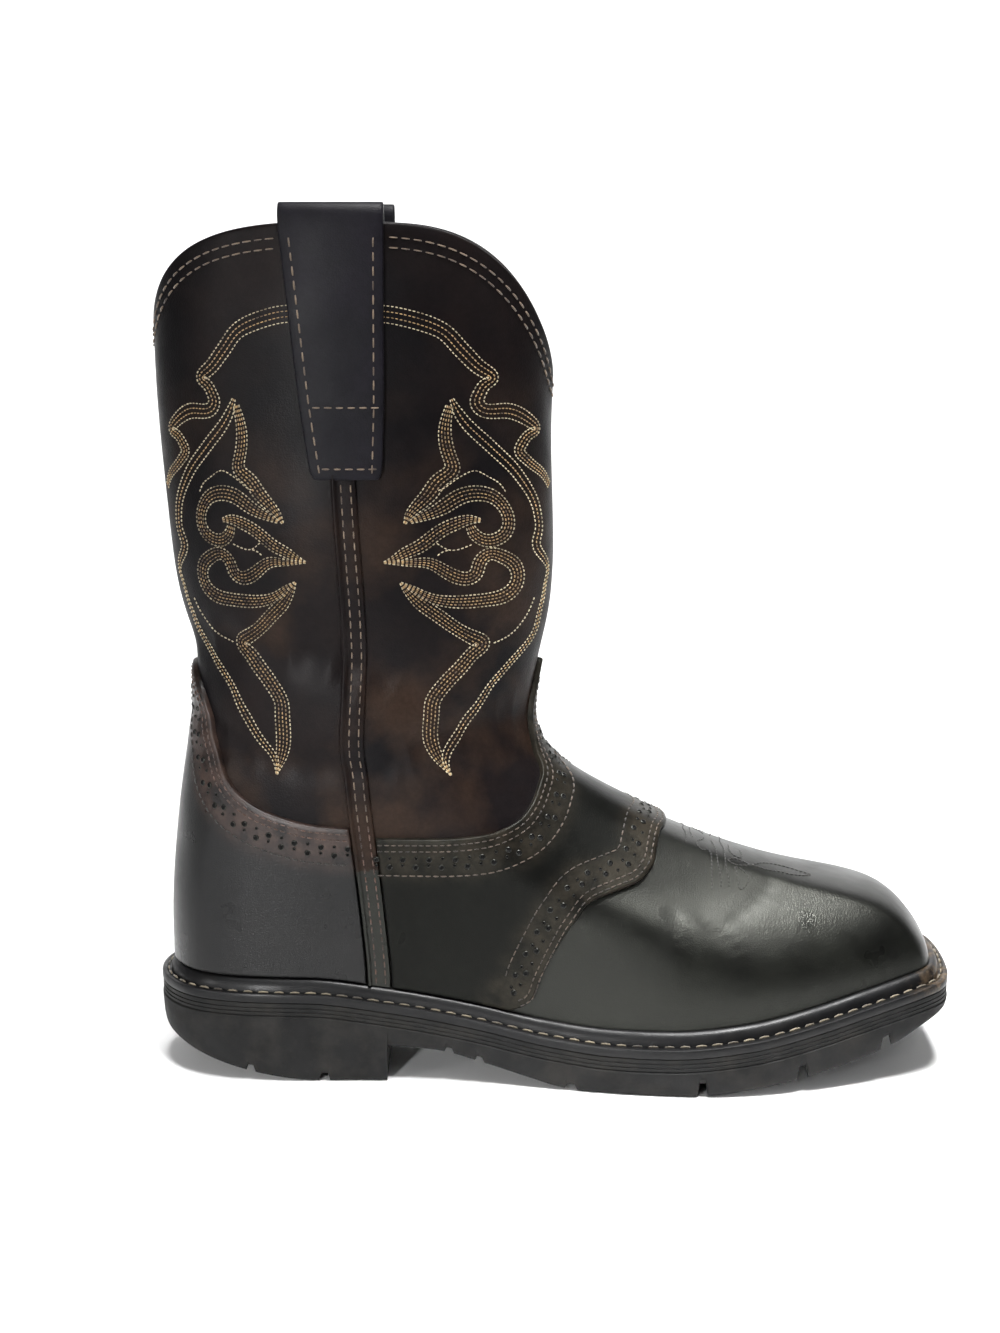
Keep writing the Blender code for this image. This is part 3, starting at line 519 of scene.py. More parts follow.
def lip_height(turn):
    """Height at which the upper leaves the welt's lip."""
    edge = inset_outline(turn, margin(turn))
    return welt_height(edge[..., 0]) + LIP_HEIGHT + GAP


def wing_height(turn):
    """Height of the saddle's lower edge: the welt's lip, then the wing's edge in front."""
    low = lip_height(turn)
    turns, up = columns(WING)
    return low + (WING_PEAK - low) * steady(turns, up)(np.abs(turn))


def world(points):
    """The same points with the origin moved to the middle of the boot."""
    moved = np.array(points, float)
    moved[..., 0] -= MIDDLE[0]
    moved[..., 1] -= MIDDLE[1]
    return moved


def seam_half_turn(turn, rise):
    """Half the side seam's width, as a part of a turn."""
    small = 0.01  # of a turn, to either side
    across = np.linalg.norm(skin(turn + small, rise) - skin(turn - small, rise), axis=-1)
    return (SEAM_WIDTH / 2 + GAP) / across * 2 * small


def strap_width(z):
    """Width of the strap at a height on its outer side."""
    knots = (STRAP_END, STRAP_END + 0.003, STRAP_SEAM, COLLAR_HEIGHT)
    return np.interp(z, knots, (STRAP_TIP - 0.003, STRAP_TIP, STRAP_WAIST, STRAP_WIDTH))


# ---- points and faces


def faces_between(rows, count, closed=False):
    """Square faces between rows of points, each row count points long."""
    i, j = np.meshgrid(np.arange(rows - 1), np.arange(count if closed else count - 1), indexing="ij")
    k = (j + 1) % count
    quads = np.stack([i * count + j, i * count + k, (i + 1) * count + k, (i + 1) * count + j], -1)
    return quads.reshape(-1, 4)


def repeated(faces, times, size):
    """The same faces again for each of several shapes that have size points each."""
    return [tuple(start + v for v in face) for start in range(0, times * size, size) for face in faces]


def outward(grid, closed=False):
    """Unit normals of a grid of points, rows up the upper and columns round it."""
    up = np.gradient(grid, axis=0)
    if closed:
        around = np.roll(grid, -1, 1) - np.roll(grid, 1, 1)
    else:
        around = np.gradient(grid, axis=1)
    found = np.cross(up, around)
    return found / np.maximum(np.linalg.norm(found, axis=-1, keepdims=True), 1e-12)


def add_piece(name, points, faces, finish, slot, sharp=40, shade=None):
    """A mesh piece that rides on the boot. Its points are given from the sole's back end.

    Edges sharper than the angle sharp stay sharp, and none if it is 0. shade is a number at each point for
    the finish to use.
    """
    points = world(np.asarray(points).reshape(-1, 3))
    mesh = bpy.data.meshes.new(name)
    mesh.from_pydata(points.tolist(), [], [list(map(int, f)) for f in faces])
    mesh.update()
    mesh.shade_smooth()
    if sharp:
        mesh.set_sharp_from_angle(angle=math.radians(sharp))
    if shade is not None:
        layer = mesh.attributes.new("shade", "FLOAT", "POINT")
        layer.data.foreach_set("value", np.asarray(shade, np.float32))
    mesh.materials.append(finish)
    piece = bpy.data.objects.new(name, mesh)
    bpy.context.scene.collection.objects.link(piece)
    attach(piece, "root")
    return piece


# ---- finishes


def linear(code):
    """A colour written as sRGB hex, as the linear numbers that shaders take."""
    parts = [int(code[i : i + 2], 16) / 255 for i in (1, 3, 5)]
    return tuple(c / 12.92 if c <= 0.04045 else ((c + 0.055) / 1.055) ** 2.4 for c in parts) + (1.0,)


class Finish:
    """A material, and a short way to add its nodes."""

    def __init__(self, name):
        self.material = bpy.data.materials.new(name)
        self.material.use_nodes = True
        self.tree = self.material.node_tree
        self.shader = self.tree.nodes["Principled BSDF"]
        self.place = self.add("ShaderNodeTexCoord").outputs["Object"]

    def add(self, kind, settings=None, **links):
        """A node with its settings and its inputs, each a number, a colour or another node's output."""
        node = self.tree.nodes.new(kind)
        for key, value in (settings or {}).items():
            setattr(node, key, value)
        for key, value in links.items():
            self.set(node.inputs[key.replace("_", " ")], value)
        return node

    def set(self, socket, value):
        """Gives a socket a number, a colour or a link."""
        if isinstance(value, bpy.types.NodeSocket):
            self.tree.links.new(value, socket)
        else:
            socket.default_value = value

    def noise(self, size, detail=3.0, rough=0.5):
        """Cloudy pattern whose patches are about size metres across."""
        node = self.add("ShaderNodeTexNoise", Vector=self.place, Scale=1 / size, Detail=detail)
        node.inputs["Roughness"].default_value = rough
        return node.outputs["Fac"]

    def ramp(self, value, low, high, start=0.0, stop=1.0):
        """Maps a value between low and high to start and stop."""
        node = self.add("ShaderNodeMapRange", Value=value)
        for key, number in (("From Min", low), ("From Max", high), ("To Min", start), ("To Max", stop)):
            node.inputs[key].default_value = number
        return node.outputs["Result"]

    def mix(self, share, first, second):
        """A colour between two colours."""
        node = self.add("ShaderNodeMix", {"data_type": "RGBA"})
        self.set(node.inputs[0], share)
        self.set(node.inputs[6], first)
        self.set(node.inputs[7], second)
        return node.outputs[2]

    def maths(self, kind, a, b=0.0):
        """One step of arithmetic."""
        node = self.add("ShaderNodeMath", {"operation": kind})
        self.set(node.inputs[0], a)
        self.set(node.inputs[1], b)
        return node.outputs[0]

    def bump(self, height, depth, strength=1.0, below=None):
        """A bump whose full height is depth metres."""
        node = self.add("ShaderNodeBump", Height=height, Distance=depth, Strength=strength)
        if below is not None:
            self.set(node.inputs["Normal"], below)
        return node.outputs["Normal"]

    def finish(self, **inputs):
        """Sets the shader's inputs and returns the material."""
        for key, value in inputs.items():
            self.set(self.shader.inputs[key.replace("_", " ")], value)
        return self.material


NO_TINT = "#ffffff"


def leather(
    name, dark, worn, rough, grain, coat, patch, low_brown_and_reflection=None, edge_wear=None, tint=NO_TINT, shine=0.29
):
    """Smooth full-grain leather. Grain and patch are the sizes of its pores and of its worn places."""
    f = Finish(name)
    # handling lightens it in soft patches
    colour = f.mix(f.ramp(f.noise(patch, 4, 0.6), 0.45, 0.75), linear(dark), linear(worn))
    if low_brown_and_reflection:
        # patches of brown low on the shaft: partly the brown that bending lets through the black wax,
        # partly painted reflection of faint brown highlights
        height = f.add("ShaderNodeSeparateXYZ", Vector=f.place).outputs["Z"]
        low = f.ramp(f.maths("ADD", height, f.maths("MULTIPLY", f.noise(0.03), 0.09)), 0.32, 0.22)
        brown = f.maths("MULTIPLY", low, f.ramp(f.noise(0.038, 4), 0.47, 0.64))
        colour = f.mix(brown, colour, linear(low_brown_and_reflection))
    if edge_wear:
        # scuffs along the punched band
        near_edge = f.add("ShaderNodeAttribute", {"attribute_name": "shade"}).outputs["Fac"]
        broken = f.ramp(f.noise(0.012, 4, 0.65), 0.36, 0.62, 0.1, 1.0)
        colour = f.mix(f.maths("MULTIPLY", near_edge, broken), colour, linear(edge_wear))
    tone = f.add("ShaderNodeHueSaturation", Color=colour)
    f.set(tone.inputs["Value"], f.ramp(f.noise(0.0016, 2, 0.7), 0.35, 0.7, 0.85, 1.12))
    # pores, then the hide's soft unevenness, then fine streaks
    cells = f.add("ShaderNodeTexVoronoi", {"feature": "DISTANCE_TO_EDGE"}, Vector=f.place, Scale=1 / grain)
    pores = f.bump(f.ramp(cells.outputs["Distance"], 0.0, 0.18), grain * 0.10, 0.35)
    soft = f.bump(f.noise(0.006, 3), 0.0004, 0.25, pores)
    streaks = f.bump(f.noise(0.0022, 4, 0.7), 0.0001, 0.25, soft)
    roughness = f.ramp(f.noise(0.022, 3, 0.6), 0.3, 0.7, rough - 0.07, rough + 0.12)
    return f.finish(
        Base_Color=tone.outputs["Color"],
        Roughness=roughness,
        Normal=streaks,
        Coat_Weight=coat,
        Coat_Roughness=0.30,
        Specular_IOR_Level=shine,
        Specular_Tint=linear(tint),
    )


def rubber(name, colour, dusty, rough, coat=0.0, dirt=None):
    """Moulded rubber: matt, faintly pebbled, with dust and scuffs, and with dirt at the toe if given."""
    f = Finish(name)
    dust = f.ramp(f.noise(0.014, 6, 0.7), 0.45, 0.8)
    scuff = f.ramp(f.noise(0.0035, 5, 0.75), 0.58, 0.75, 0.0, 0.6)
    base = f.mix(f.maths("MAXIMUM", dust, scuff), linear(colour), linear(dusty))
    if dirt:
        forward = f.add("ShaderNodeSeparateXYZ", Vector=f.place).outputs["X"]
        caked = f.ramp(f.noise(0.005, 5, 0.7), 0.46, 0.64)
        toe_dirt = f.maths("MULTIPLY", f.ramp(forward, 0.133, 0.150), caked)
        base = f.mix(toe_dirt, base, linear(dirt))
    fine = f.bump(f.noise(0.0009, 4, 0.7), 0.00012, 0.5)
    dents = f.bump(f.noise(0.007, 4), 0.0006, 0.25, fine)
    roughness = f.ramp(f.noise(0.01, 4), 0.3, 0.7, rough - 0.08, rough + 0.12)
    return f.finish(
        Base_Color=base,
        Roughness=roughness,
        Normal=dents,
        Coat_Weight=coat,
        Coat_Roughness=0.2,
        Specular_IOR_Level=0.24,
    )


THREAD_TWIST = 900.0  # scale of the bands that run round a thread


def thread(name, light, dark, rough=0.7):
    """Twisted sewing thread, each stitch a little lighter or darker, dirty in places."""
    f = Finish(name)
    own = f.add("ShaderNodeAttribute", {"attribute_name": "shade"}).outputs["Fac"]
    mixed = f.ramp(f.maths("ADD", own, f.maths("MULTIPLY", f.noise(0.02, 3), 0.8)), 0.35, 1.25)
    colour = f.mix(mixed, linear(dark), linear(light))
    band = {"bands_direction": "DIAGONAL"}
    twist = f.add("ShaderNodeTexWave", band, Vector=f.place, Scale=THREAD_TWIST, Distortion=2.0)
    relief = f.bump(twist.outputs["Fac"], 0.0001, 0.6)
    return f.finish(Base_Color=colour, Roughness=rough, Normal=relief, Sheen_Weight=0.3)


# Cowhide tanned brown and waxed nearly black: a soft dull sheen, and brown patches low down, partly where
# it bends and partly painted reflection
SHAFT_LEATHER = leather(
    "oiled_dark_brown_leather", "#0d0b0d", "#1b1413", 0.42, 0.0011, 0.03, 0.055, "#2e221b", shine=0.11
)
# The same hide doubled and pressed, less worn: a plainer black, its blue cast a painted sheen
STRAP_LEATHER = leather("strap_leather", "#131217", "#1d1a22", 0.46, 0.0011, 0.02, 0.04, shine=0.14)
# Black corrected-grain hide with a wax polish: a clear, slightly green sheen over the toe
FOOT_LEATHER = leather(
    "smooth_black_leather", "#060606", "#0d0e0b", 0.33, 0.0009, 0.22, 0.06, tint="#fcfff0", shine=0.32
)
# The same over the stiff heel cup, polished by wear: neutral sheen, scuffed brown along its band
COUNTER_LEATHER = leather(
    "counter_leather", "#070708", "#100f0e", 0.31, 0.0009, 0.20, 0.05, None, "#453630", shine=0.30
)
# The same on the instep, where it bends: little sheen, its band scuffed grey-brown
SADDLE_LEATHER = leather(
    "saddle_leather", "#060606", "#0d0e0c", 0.34, 0.0009, 0.05, 0.05, None, "#2a2620", "#fcfff2", 0.13
)
# Undyed lining pigskin, matt and tan
LINING = leather("tan_lining_leather", "#5a3d2a", "#7a5a3f", 0.7, 0.0012, 0.0, 0.03)
# Carbon-black rubber from a mould: matt charcoal with grey-brown dust
SOLE_RUBBER = rubber("matt_black_sole_rubber", "#141414", "#292724", 0.68)
MIDSOLE_RUBBER = rubber("midsole_rubber", "#121212", "#262420", 0.60)
# Extruded welt strip, smoother than the sole: a dull gloss, and tan dirt caked at the toe
WELT_RUBBER = rubber("gloss_black_welt", "#08080a", "#151413", 0.46, 0.10, "#5c4d3c")
# The bottom of a punched hole, where hardly any light comes back
HOLE_DARK = rubber("shadow_in_holes", "#040404", "#0a0908", 0.8)
# Lustrous rayon embroidery thread, gone dull with wear: gold rows edged with cream
GOLD_THREAD = thread("gold_embroidery_thread", "#bd9a64", "#4b3521")
CREAM_THREAD = thread("cream_embroidery_thread", "#d2c4a2", "#6f5f43")
# Waxed nylon seam thread, darker the lower it sits on the boot
TAUPE_THREAD = thread("taupe_seam_thread", "#7f6d5a", "#3e3129")
SADDLE_THREAD = thread("dark_taupe_seam_thread", "#57493d", "#221c18")
BROWN_THREAD = thread("reddish_seam_thread", "#5d4236", "#281a14")
DARK_THREAD = thread("black_seam_thread", "#26241f", "#0d0d0d")
# Thick waxed welt thread, once off-white
WELT_THREAD = thread("light_welt_thread", "#8a7f69", "#38322a", 0.6)


# ---- upper

# Soft troughs in the leather, and ridges where the depth is below 0, each from one turn and rise to
# another. Columns: turn, rise, turn at the end, rise at the end, half width and depth in millimetres.
CREASES = (
    (-0.04, 0.700, -0.56, 0.655, 9.0, 2.8),
    (-0.40, 0.600, -0.94, 0.640, 8.0, 2.4),
    (-0.10, 0.575, -0.46, 0.560, 7.0, 1.7),
    (-0.02, 0.640, -0.22, 0.610, 5.0, 1.4),
    (-0.62, 0.590, -0.99, 0.575, 5.0, 0.6),
    (-0.74, 0.190, -0.80, 0.345, 3.0, 0.45),
    (-0.71, 0.250, -0.78, 0.360, 2.5, 0.35),
    (-0.55, 0.760, -0.95, 0.790, 16.0, -0.9),
    (-0.08, 0.800, -0.40, 0.770, 16.0, -0.8),
    (-0.78, 0.300, -0.98, 0.362, 3.0, 0.3),
)
CREASE_BOW = 0.012  # how far the middle of each one rises, as a part of the upper's rise
CREASE_POINTS = 9
MILLIMETRE = 0.001


def crease_depth():
    """How far the leather dips at each point of the table, from the creases near it on both sides."""
    depth = np.zeros(SKIN.shape[:-1])
    for turn, rise, turn_end, rise_end, width, deep in CREASES:
        along = np.linspace(0, 1, CREASE_POINTS)
        bow = CREASE_BOW * np.sin(along * math.pi)
        path_turn = turn + (turn_end - turn) * along
        path_rise = rise + (rise_end - rise) * along + bow
        fade = np.sin(np.clip(along, 0.02, 0.98) * math.pi) ** 0.5
        for side in (1, -1):
            path = skin(path_turn * side, path_rise)
            near = np.zeros_like(depth)
            for point, strength in zip(path, fade):
                away = ((SKIN - point) ** 2).sum(-1) / (width * MILLIMETRE) ** 2
                near = np.maximum(near, strength * np.exp(-away))
            depth += near * deep * MILLIMETRE
    return depth


SKIN, SKIN_OUT = skin_table()
SKIN = SKIN - SKIN_OUT * crease_depth()[..., None]


UPPER_COLUMNS, UPPER_ROWS = 300, 210
LINING_COLUMNS, LINING_ROWS = 150, 90
LINING_START, LINING_END = 0.03, 0.994  # the rise of the lining's lower and upper edge
COVER_LAP = 0.004  # how far the shaft's leather runs down under the foot part's covers


def make_upper():
    """The upper's outer face with its collar edge turned over, and its lining."""
    turns = np.linspace(-1, 1, UPPER_COLUMNS, endpoint=False)
    rises = np.linspace(0, 1, UPPER_ROWS)
    grid = skin(turns[None, :], rises[:, None])
    out = outward(grid, True)
    up = grid[-1] - grid[-2]
    up /= np.linalg.norm(up, axis=-1, keepdims=True)
    rows = [grid]
    for angle in np.radians([30, 60, 90, 120, 150, 180]):
        inwards, upwards = LEATHER / 2 * (1 - math.cos(angle)), LEATHER / 2 * math.sin(angle)
        rows.append((grid[-1] - out[-1] * inwards + up * upwards)[None])
    for down in (0.004, 0.010):
        rows.append((grid[-1] - out[-1] * LEATHER - up * down)[None])
    points = np.concatenate(rows)
    faces = faces_between(len(points), UPPER_COLUMNS, True)
    upper = add_piece("shaft_and_vamp", points, faces, SHAFT_LEATHER, "oiled_brown_leather", 0)
    upper.data.materials.append(FOOT_LEATHER)
    level = rise_at(turns, foot_edge_height(turns) - COVER_LAP) * (len(rises) - 1)
    for face in upper.data.polygons:
        row, column = divmod(face.index, UPPER_COLUMNS)
        face.material_index = int(row < level[column])
    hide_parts("upper")
    turns = np.linspace(-1, 1, LINING_COLUMNS, endpoint=False)
    rises = np.linspace(LINING_START, LINING_END, LINING_ROWS)
    grid = skin(turns[None, :], rises[:, None])
    grid = grid - outward(grid, True) * LEATHER
    faces = faces_between(LINING_ROWS, LINING_COLUMNS, True)
    add_piece("lining", grid, faces, LINING, "tan_footbed", 0)


BAND_WIDTH = 0.0158  # the punched band along the foot part's edges
EDGE_ROUNDING = np.array([0.0, 0.62, 0.9, 1.0])  # height of a cover's first points, as shares of its own
COVER_CLEARANCE = 0.00005


def edge_profile(count):
    """Shares of a cover's thickness from one of its edges to the other."""
    shape = np.ones(count)
    shape[:4] = EDGE_ROUNDING
    shape[-4:] = EDGE_ROUNDING[::-1]
    return shape


def cover(name, turn, rise, finish, replaced):
    """A piece of leather laid on the upper, its edges rounded over. Rows run up it and columns round it."""
    rows, count = turn.shape
    share = np.minimum(edge_profile(rows)[:, None], edge_profile(count)[None, :])
    points = lifted(turn, rise, share * (OVERLAY + OVERLAY_GAP) + COVER_CLEARANCE)
    # the band's shade, for the scuffs: 1 at the top edge and at the wing's edge, falling off inwards
    edges = np.concatenate([points[-1], points[0][np.abs(turn[0]) > WING[0][0]]])
    apart = np.array([((edges - p) ** 2).sum(1).min() for p in points.reshape(-1, 3)])
    near_edge = np.exp(-((apart / BAND_WIDTH**2) ** 3))
    faces = faces_between(rows, count)
    piece = add_piece(name, points, faces, finish, "smooth_dark_leather", 0, near_edge)
    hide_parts(replaced)


def edge_shares(count, border):
    """Shares from 0 to 1 that crowd at both ends, for a rounded edge."""
    middle = np.linspace(border, 1 - border, count - 6)
    head = np.array([0.0, border * 0.15, border * 0.45])
    return np.concatenate([head, middle, 1 - head[::-1]])


def make_counter():
    """The heel's cover."""
    across = edge_shares(150, 0.006) * 2 - 1
    up = edge_shares(64, 0.008)
    place = across * (SEAM_TURN - 0.02)
    low, high = rise_at(place, lip_height(place)), foot_edge_rise(place)
    rise = low + (high - low) * up[:, None]
    room = seam_half_turn(SEAM_TURN + 0 * rise, rise)
    turn = across[None, :] * (SEAM_TURN - room)
    cover("heel_counter", turn, rise, COUNTER_LEATHER, "counter")


def make_saddle():
    """The instep's cover with its winged front edge."""
    across = edge_shares(220, 0.005) * 2 - 1
    up = edge_shares(64, 0.008)
    side = np.where(across < 0, -1, 1)
    amount = 1 - np.abs(across) * (1 - SEAM_TURN - 0.02)
    place = side * amount
    low, high = rise_at(place, wing_height(place)), foot_edge_rise(place)
    rise = low + (high - low) * up[:, None]
    room = seam_half_turn(SEAM_TURN + 0 * rise, rise)
    turn = side * (1 - np.abs(across) * (1 - SEAM_TURN - room))
    cover("instep_saddle", turn, rise, SADDLE_LEATHER, "saddle")


# Across a side seam's strip, from its back edge to its front: share of half its width, and lift in
# millimetres. The cord stands at the back.
STRIP_PROFILE = (
    (-1, 0.0), (-0.98, 1.2), (-0.9, 2.1), (-0.78, 2.5), (-0.66, 2.1), (-0.56, 1.3), (-0.5, 1.15),
    (-0.2, 1.25), (0.2, 1.3), (0.6, 1.25), (0.88, 1.1), (0.97, 0.7), (1.0, 0.0),
)
STRIP_ROWS = 160
STRIP_BLACK_BELOW = COUNTER_SIDE - 0.016  # the strip is black from here down, as the foot part is


def make_side_seam(side):
    """The raised strip over a side seam, with a cord along its back edge."""
    middle = side * SEAM_TURN
    low = float(rise_at(middle, lip_height(np.array(middle))))
    high = float(rise_at(middle, STRAP_END + 0.002))
    rises = np.linspace(low, high, STRIP_ROWS)
    half = seam_half_turn(np.full(STRIP_ROWS, middle), rises)
    shares, lifts = columns(STRIP_PROFILE)
    lifts = lifts * MILLIMETRE
    turn = middle + side * half[:, None] * shares[None, :]
    rise = np.broadcast_to(rises[:, None], turn.shape)
    points = lifted(turn, rise, lifts + OVERLAY_GAP * (lifts > 0))
    name = "outer" if side < 0 else "inner"
    faces = faces_between(STRIP_ROWS, len(shares))
    piece = add_piece("side_seam_strip_" + name, points, faces, SHAFT_LEATHER, "smooth_dark_leather", 0)
    piece.data.materials.append(FOOT_LEATHER)
    for face in piece.data.polygons:
        face.material_index = int(face.center[2] < STRIP_BLACK_BELOW)
    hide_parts("side_seam_" + name)


# ---- straps


def strap_points(side, rows_out, columns_across, lift):
    """The strap's surface at a lift off the shaft: from its outer end over the collar and down inside."""
    middle = SHAFT_START + SHAFT_DEPTH * STRAP_PLACE
    across = np.linspace(-0.5, 0.5, columns_across)

    def wall(x, z):
        back, front, half = leg(0.0, z, 1.0)[0], leg(180.0, z, 1.0)[0], leg(90.0, z, 1.0)[1]
        cosine = ((back + front) / 2 - x) / ((front - back) / 2)
        return half * np.sqrt(np.clip(1 - cosine**2, 0, 1))

    rows = []
    for z in np.linspace(STRAP_END, COLLAR_HEIGHT - 0.002, rows_out):
        width = float(strap_width(z))
        x = middle + STRAP_LEAN * (COLLAR_HEIGHT - z) / (COLLAR_HEIGHT - STRAP_END) + across * width
        rows.append(np.stack([x, side * (wall(x, z) + GAP + lift), z + 0 * x], -1))
    base = COLLAR_HEIGHT + 0.0008
    x = middle + across * STRAP_WIDTH
    face = wall(x, COLLAR_HEIGHT)
    outer, inner = face + GAP, face - STRAP_WALL - GAP
    centre, radius = (outer + inner) / 2, (outer - inner) / 2
    for turned in np.linspace(0, math.pi, 13)[1:-1]:
        y = centre + (radius + lift) * math.cos(turned)
        z = base + (STRAP_TOP - STRAP_THICKNESS - base + lift) * math.sin(turned) ** 0.8
        rows.append(np.stack([x, side * y, z + 0 * x], -1))
    for z in np.linspace(COLLAR_HEIGHT - 0.002, STRAP_INSIDE_END, 14):
        x = middle + STRAP_LEAN * (COLLAR_HEIGHT - z) / (COLLAR_HEIGHT - STRAP_END) + across * STRAP_WIDTH
        rows.append(np.stack([x, side * (wall(x, z) - STRAP_WALL - GAP - lift), z + 0 * x], -1))
    return np.array(rows)


STRAP_ROWS, STRAP_COLUMNS = 40, 15
STRAP_EDGE_ROUND = 0.0007


def make_strap(side):
    """A pull strap with rounded edges."""
    inside = strap_points(side, STRAP_ROWS, STRAP_COLUMNS, 0.0)
    outside = strap_points(side, STRAP_ROWS, STRAP_COLUMNS, STRAP_THICKNESS)
    rows, count = inside.shape[:2]
    size = rows * count
    faces = faces_between(rows, count)
    rim = list(range(count)) + [i * count + count - 1 for i in range(1, rows)]
    rim += [(rows - 1) * count + j for j in range(count - 2, -1, -1)]
    rim += [i * count for i in range(rows - 2, 0, -1)]
    joined = [(a, b, size + b, size + a) for a, b in zip(rim, rim[1:] + rim[:1])]
    all_faces = [tuple(f) for f in faces] + [tuple(size + v for v in f[::-1]) for f in faces] + joined
    name = "outer" if side < 0 else "inner"
    points = np.concatenate([inside.reshape(-1, 3), outside.reshape(-1, 3)])
    strap = add_piece("strap_" + name, points, all_faces, STRAP_LEATHER, "oiled_brown_leather", 0)
    work = bmesh.new()
    work.from_mesh(strap.data)
    bmesh.ops.recalc_face_normals(work, faces=work.faces)
    work.to_mesh(strap.data)
    work.free()
    bevel = strap.modifiers.new("rounded_edges", "BEVEL")
    bevel.width, bevel.segments = STRAP_EDGE_ROUND, 3
    bevel.limit_method, bevel.angle_limit = "ANGLE", math.radians(50)
    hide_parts("pull_strap_" + name)


# ---- sole


END_CROWDING = 0.03  # how far the sole's points crowd towards the heel's back and the toe
SOLE_STATIONS = 210
RING_POINTS = 420  # round each layer of the sole


def ring_piece(name, rows, finish, replaced, slot, capped=True):
    """A layer round the sole's outline from rows of inset and height, each a function of the turns."""
    count = RING_POINTS
    side = np.linspace(0, 1, count // 2 + 1)
    side = side - END_CROWDING * np.sin(2 * math.pi * side)
    turns = np.concatenate([side[:-1], -side[:0:-1]])
    rings = []
    for inset, lift in rows:
        xy = inset_outline(turns, inset(turns) if callable(inset) else inset + 0 * turns)
        rings.append(np.concatenate([xy, (welt_height(xy[:, 0]) + lift)[:, None]], 1))
    points = np.concatenate(rings)
    faces = [tuple(f) for f in faces_between(len(rings), count, True)]
    if capped:
        last = (len(rings) - 1) * count
        for j in range(count // 2):
            face = (last + j, last + j + 1, last + count - j - 1, last + (count - j) % count)
            faces.append(tuple(dict.fromkeys(face)))
    piece = add_piece(name, points, faces, finish, slot, 35)
    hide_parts(replaced)


WELT_CHANNEL = LIP_WIDTH + 0.0012  # from the upper to the middle of the stitch channel
CHANNEL_DROP = 0.0007  # the foot of the lip lies this far below the welt's top face
LIP_ANGLES = (0, 22, 45, 66, 86, 104)  # degrees round the rolled lip, from its foot to the upper


def make_welt():
    """The welt: square outer edge, stitch channel, and the rolled lip against the upper."""

    def from_upper(distance):
        return lambda turns: margin(turns) - distance

    low = -WELT_THICKNESS
    rows = [(0.003, low), (0.0002, low), (0.0, low + 0.0003), (0.0, -0.0009)]
    rows += [(0.0002, -0.0003), (0.0007, -0.00005), (0.0013, 0.0)]
    rows += [(from_upper(WELT_CHANNEL + 0.0007), -0.0001), (from_upper(WELT_CHANNEL), -0.0005)]
    rows.append((from_upper(LIP_WIDTH + 0.0002), -CHANNEL_DROP))
    for angle in np.radians(LIP_ANGLES):
        in_share = (1 - math.cos(angle)) / (1 - math.cos(math.radians(LIP_ANGLES[-1])))
        reach = LIP_WIDTH * (1 - in_share) - 0.0002 * in_share
        rows.append((from_upper(reach), (LIP_HEIGHT + CHANNEL_DROP) * math.sin(angle) - CHANNEL_DROP))
    ring_piece("rolled_welt", rows, WELT_RUBBER, "welt", "black_welt", False)


RIB_TOPS = (0.0018, 0.0034)  # from the midsole's top face down to each fine groove


def make_midsole():
    """The midsole, its side lined by two fine grooves."""
    top = -WELT_THICKNESS
    rows = [(0.004, top - 0.0001), (0.0006, top - 0.0001), (0.0002, top - 0.0005)]
    for start in RIB_TOPS:
        rows += [(0.0002, top - start), (0.0005, top - start - 0.0002)]
        rows += [(0.0005, top - start - 0.0004), (0.0002, top - start - 0.0006)]
    low = top - MIDSOLE_THICKNESS
    rows += [(0.0002, low + 0.0003), (0.0007, low), (0.004, low)]
    ring_piece("midsole_layer", rows, MIDSOLE_RUBBER, "midsole", "black_rubber")


def tread_floor(x):
    """Height of the tread with its grooves."""
    z = tread_height(x)
    for along, width, depth in GROOVES:
        away = np.abs(x - along * SOLE_LENGTH)
        low, wide = width * GROOVE_TAPER / 2, width / 2
        z = z + depth * np.clip((wide - away) / (wide - low), 0, 1)
    return z


# The outsole's wall, from the edge of its top face down to the tread: inset, share of the way down, lift
SOLE_WALL = (
    (0.004, 0, 0), (0.0006, 0, 0), (0.0, 0, -0.0006), (0.0001, 0.3, 0), (0.0004, 0.65, 0),
    (0.0008, 1, 0.0016), (0.0011, 1, 0.0006), (0.0018, 1, 0.0),
)
TREAD_COLUMNS = 25
CHANNEL_START, CHANNEL_END = 0.03, 0.93  # shares of the sole's length


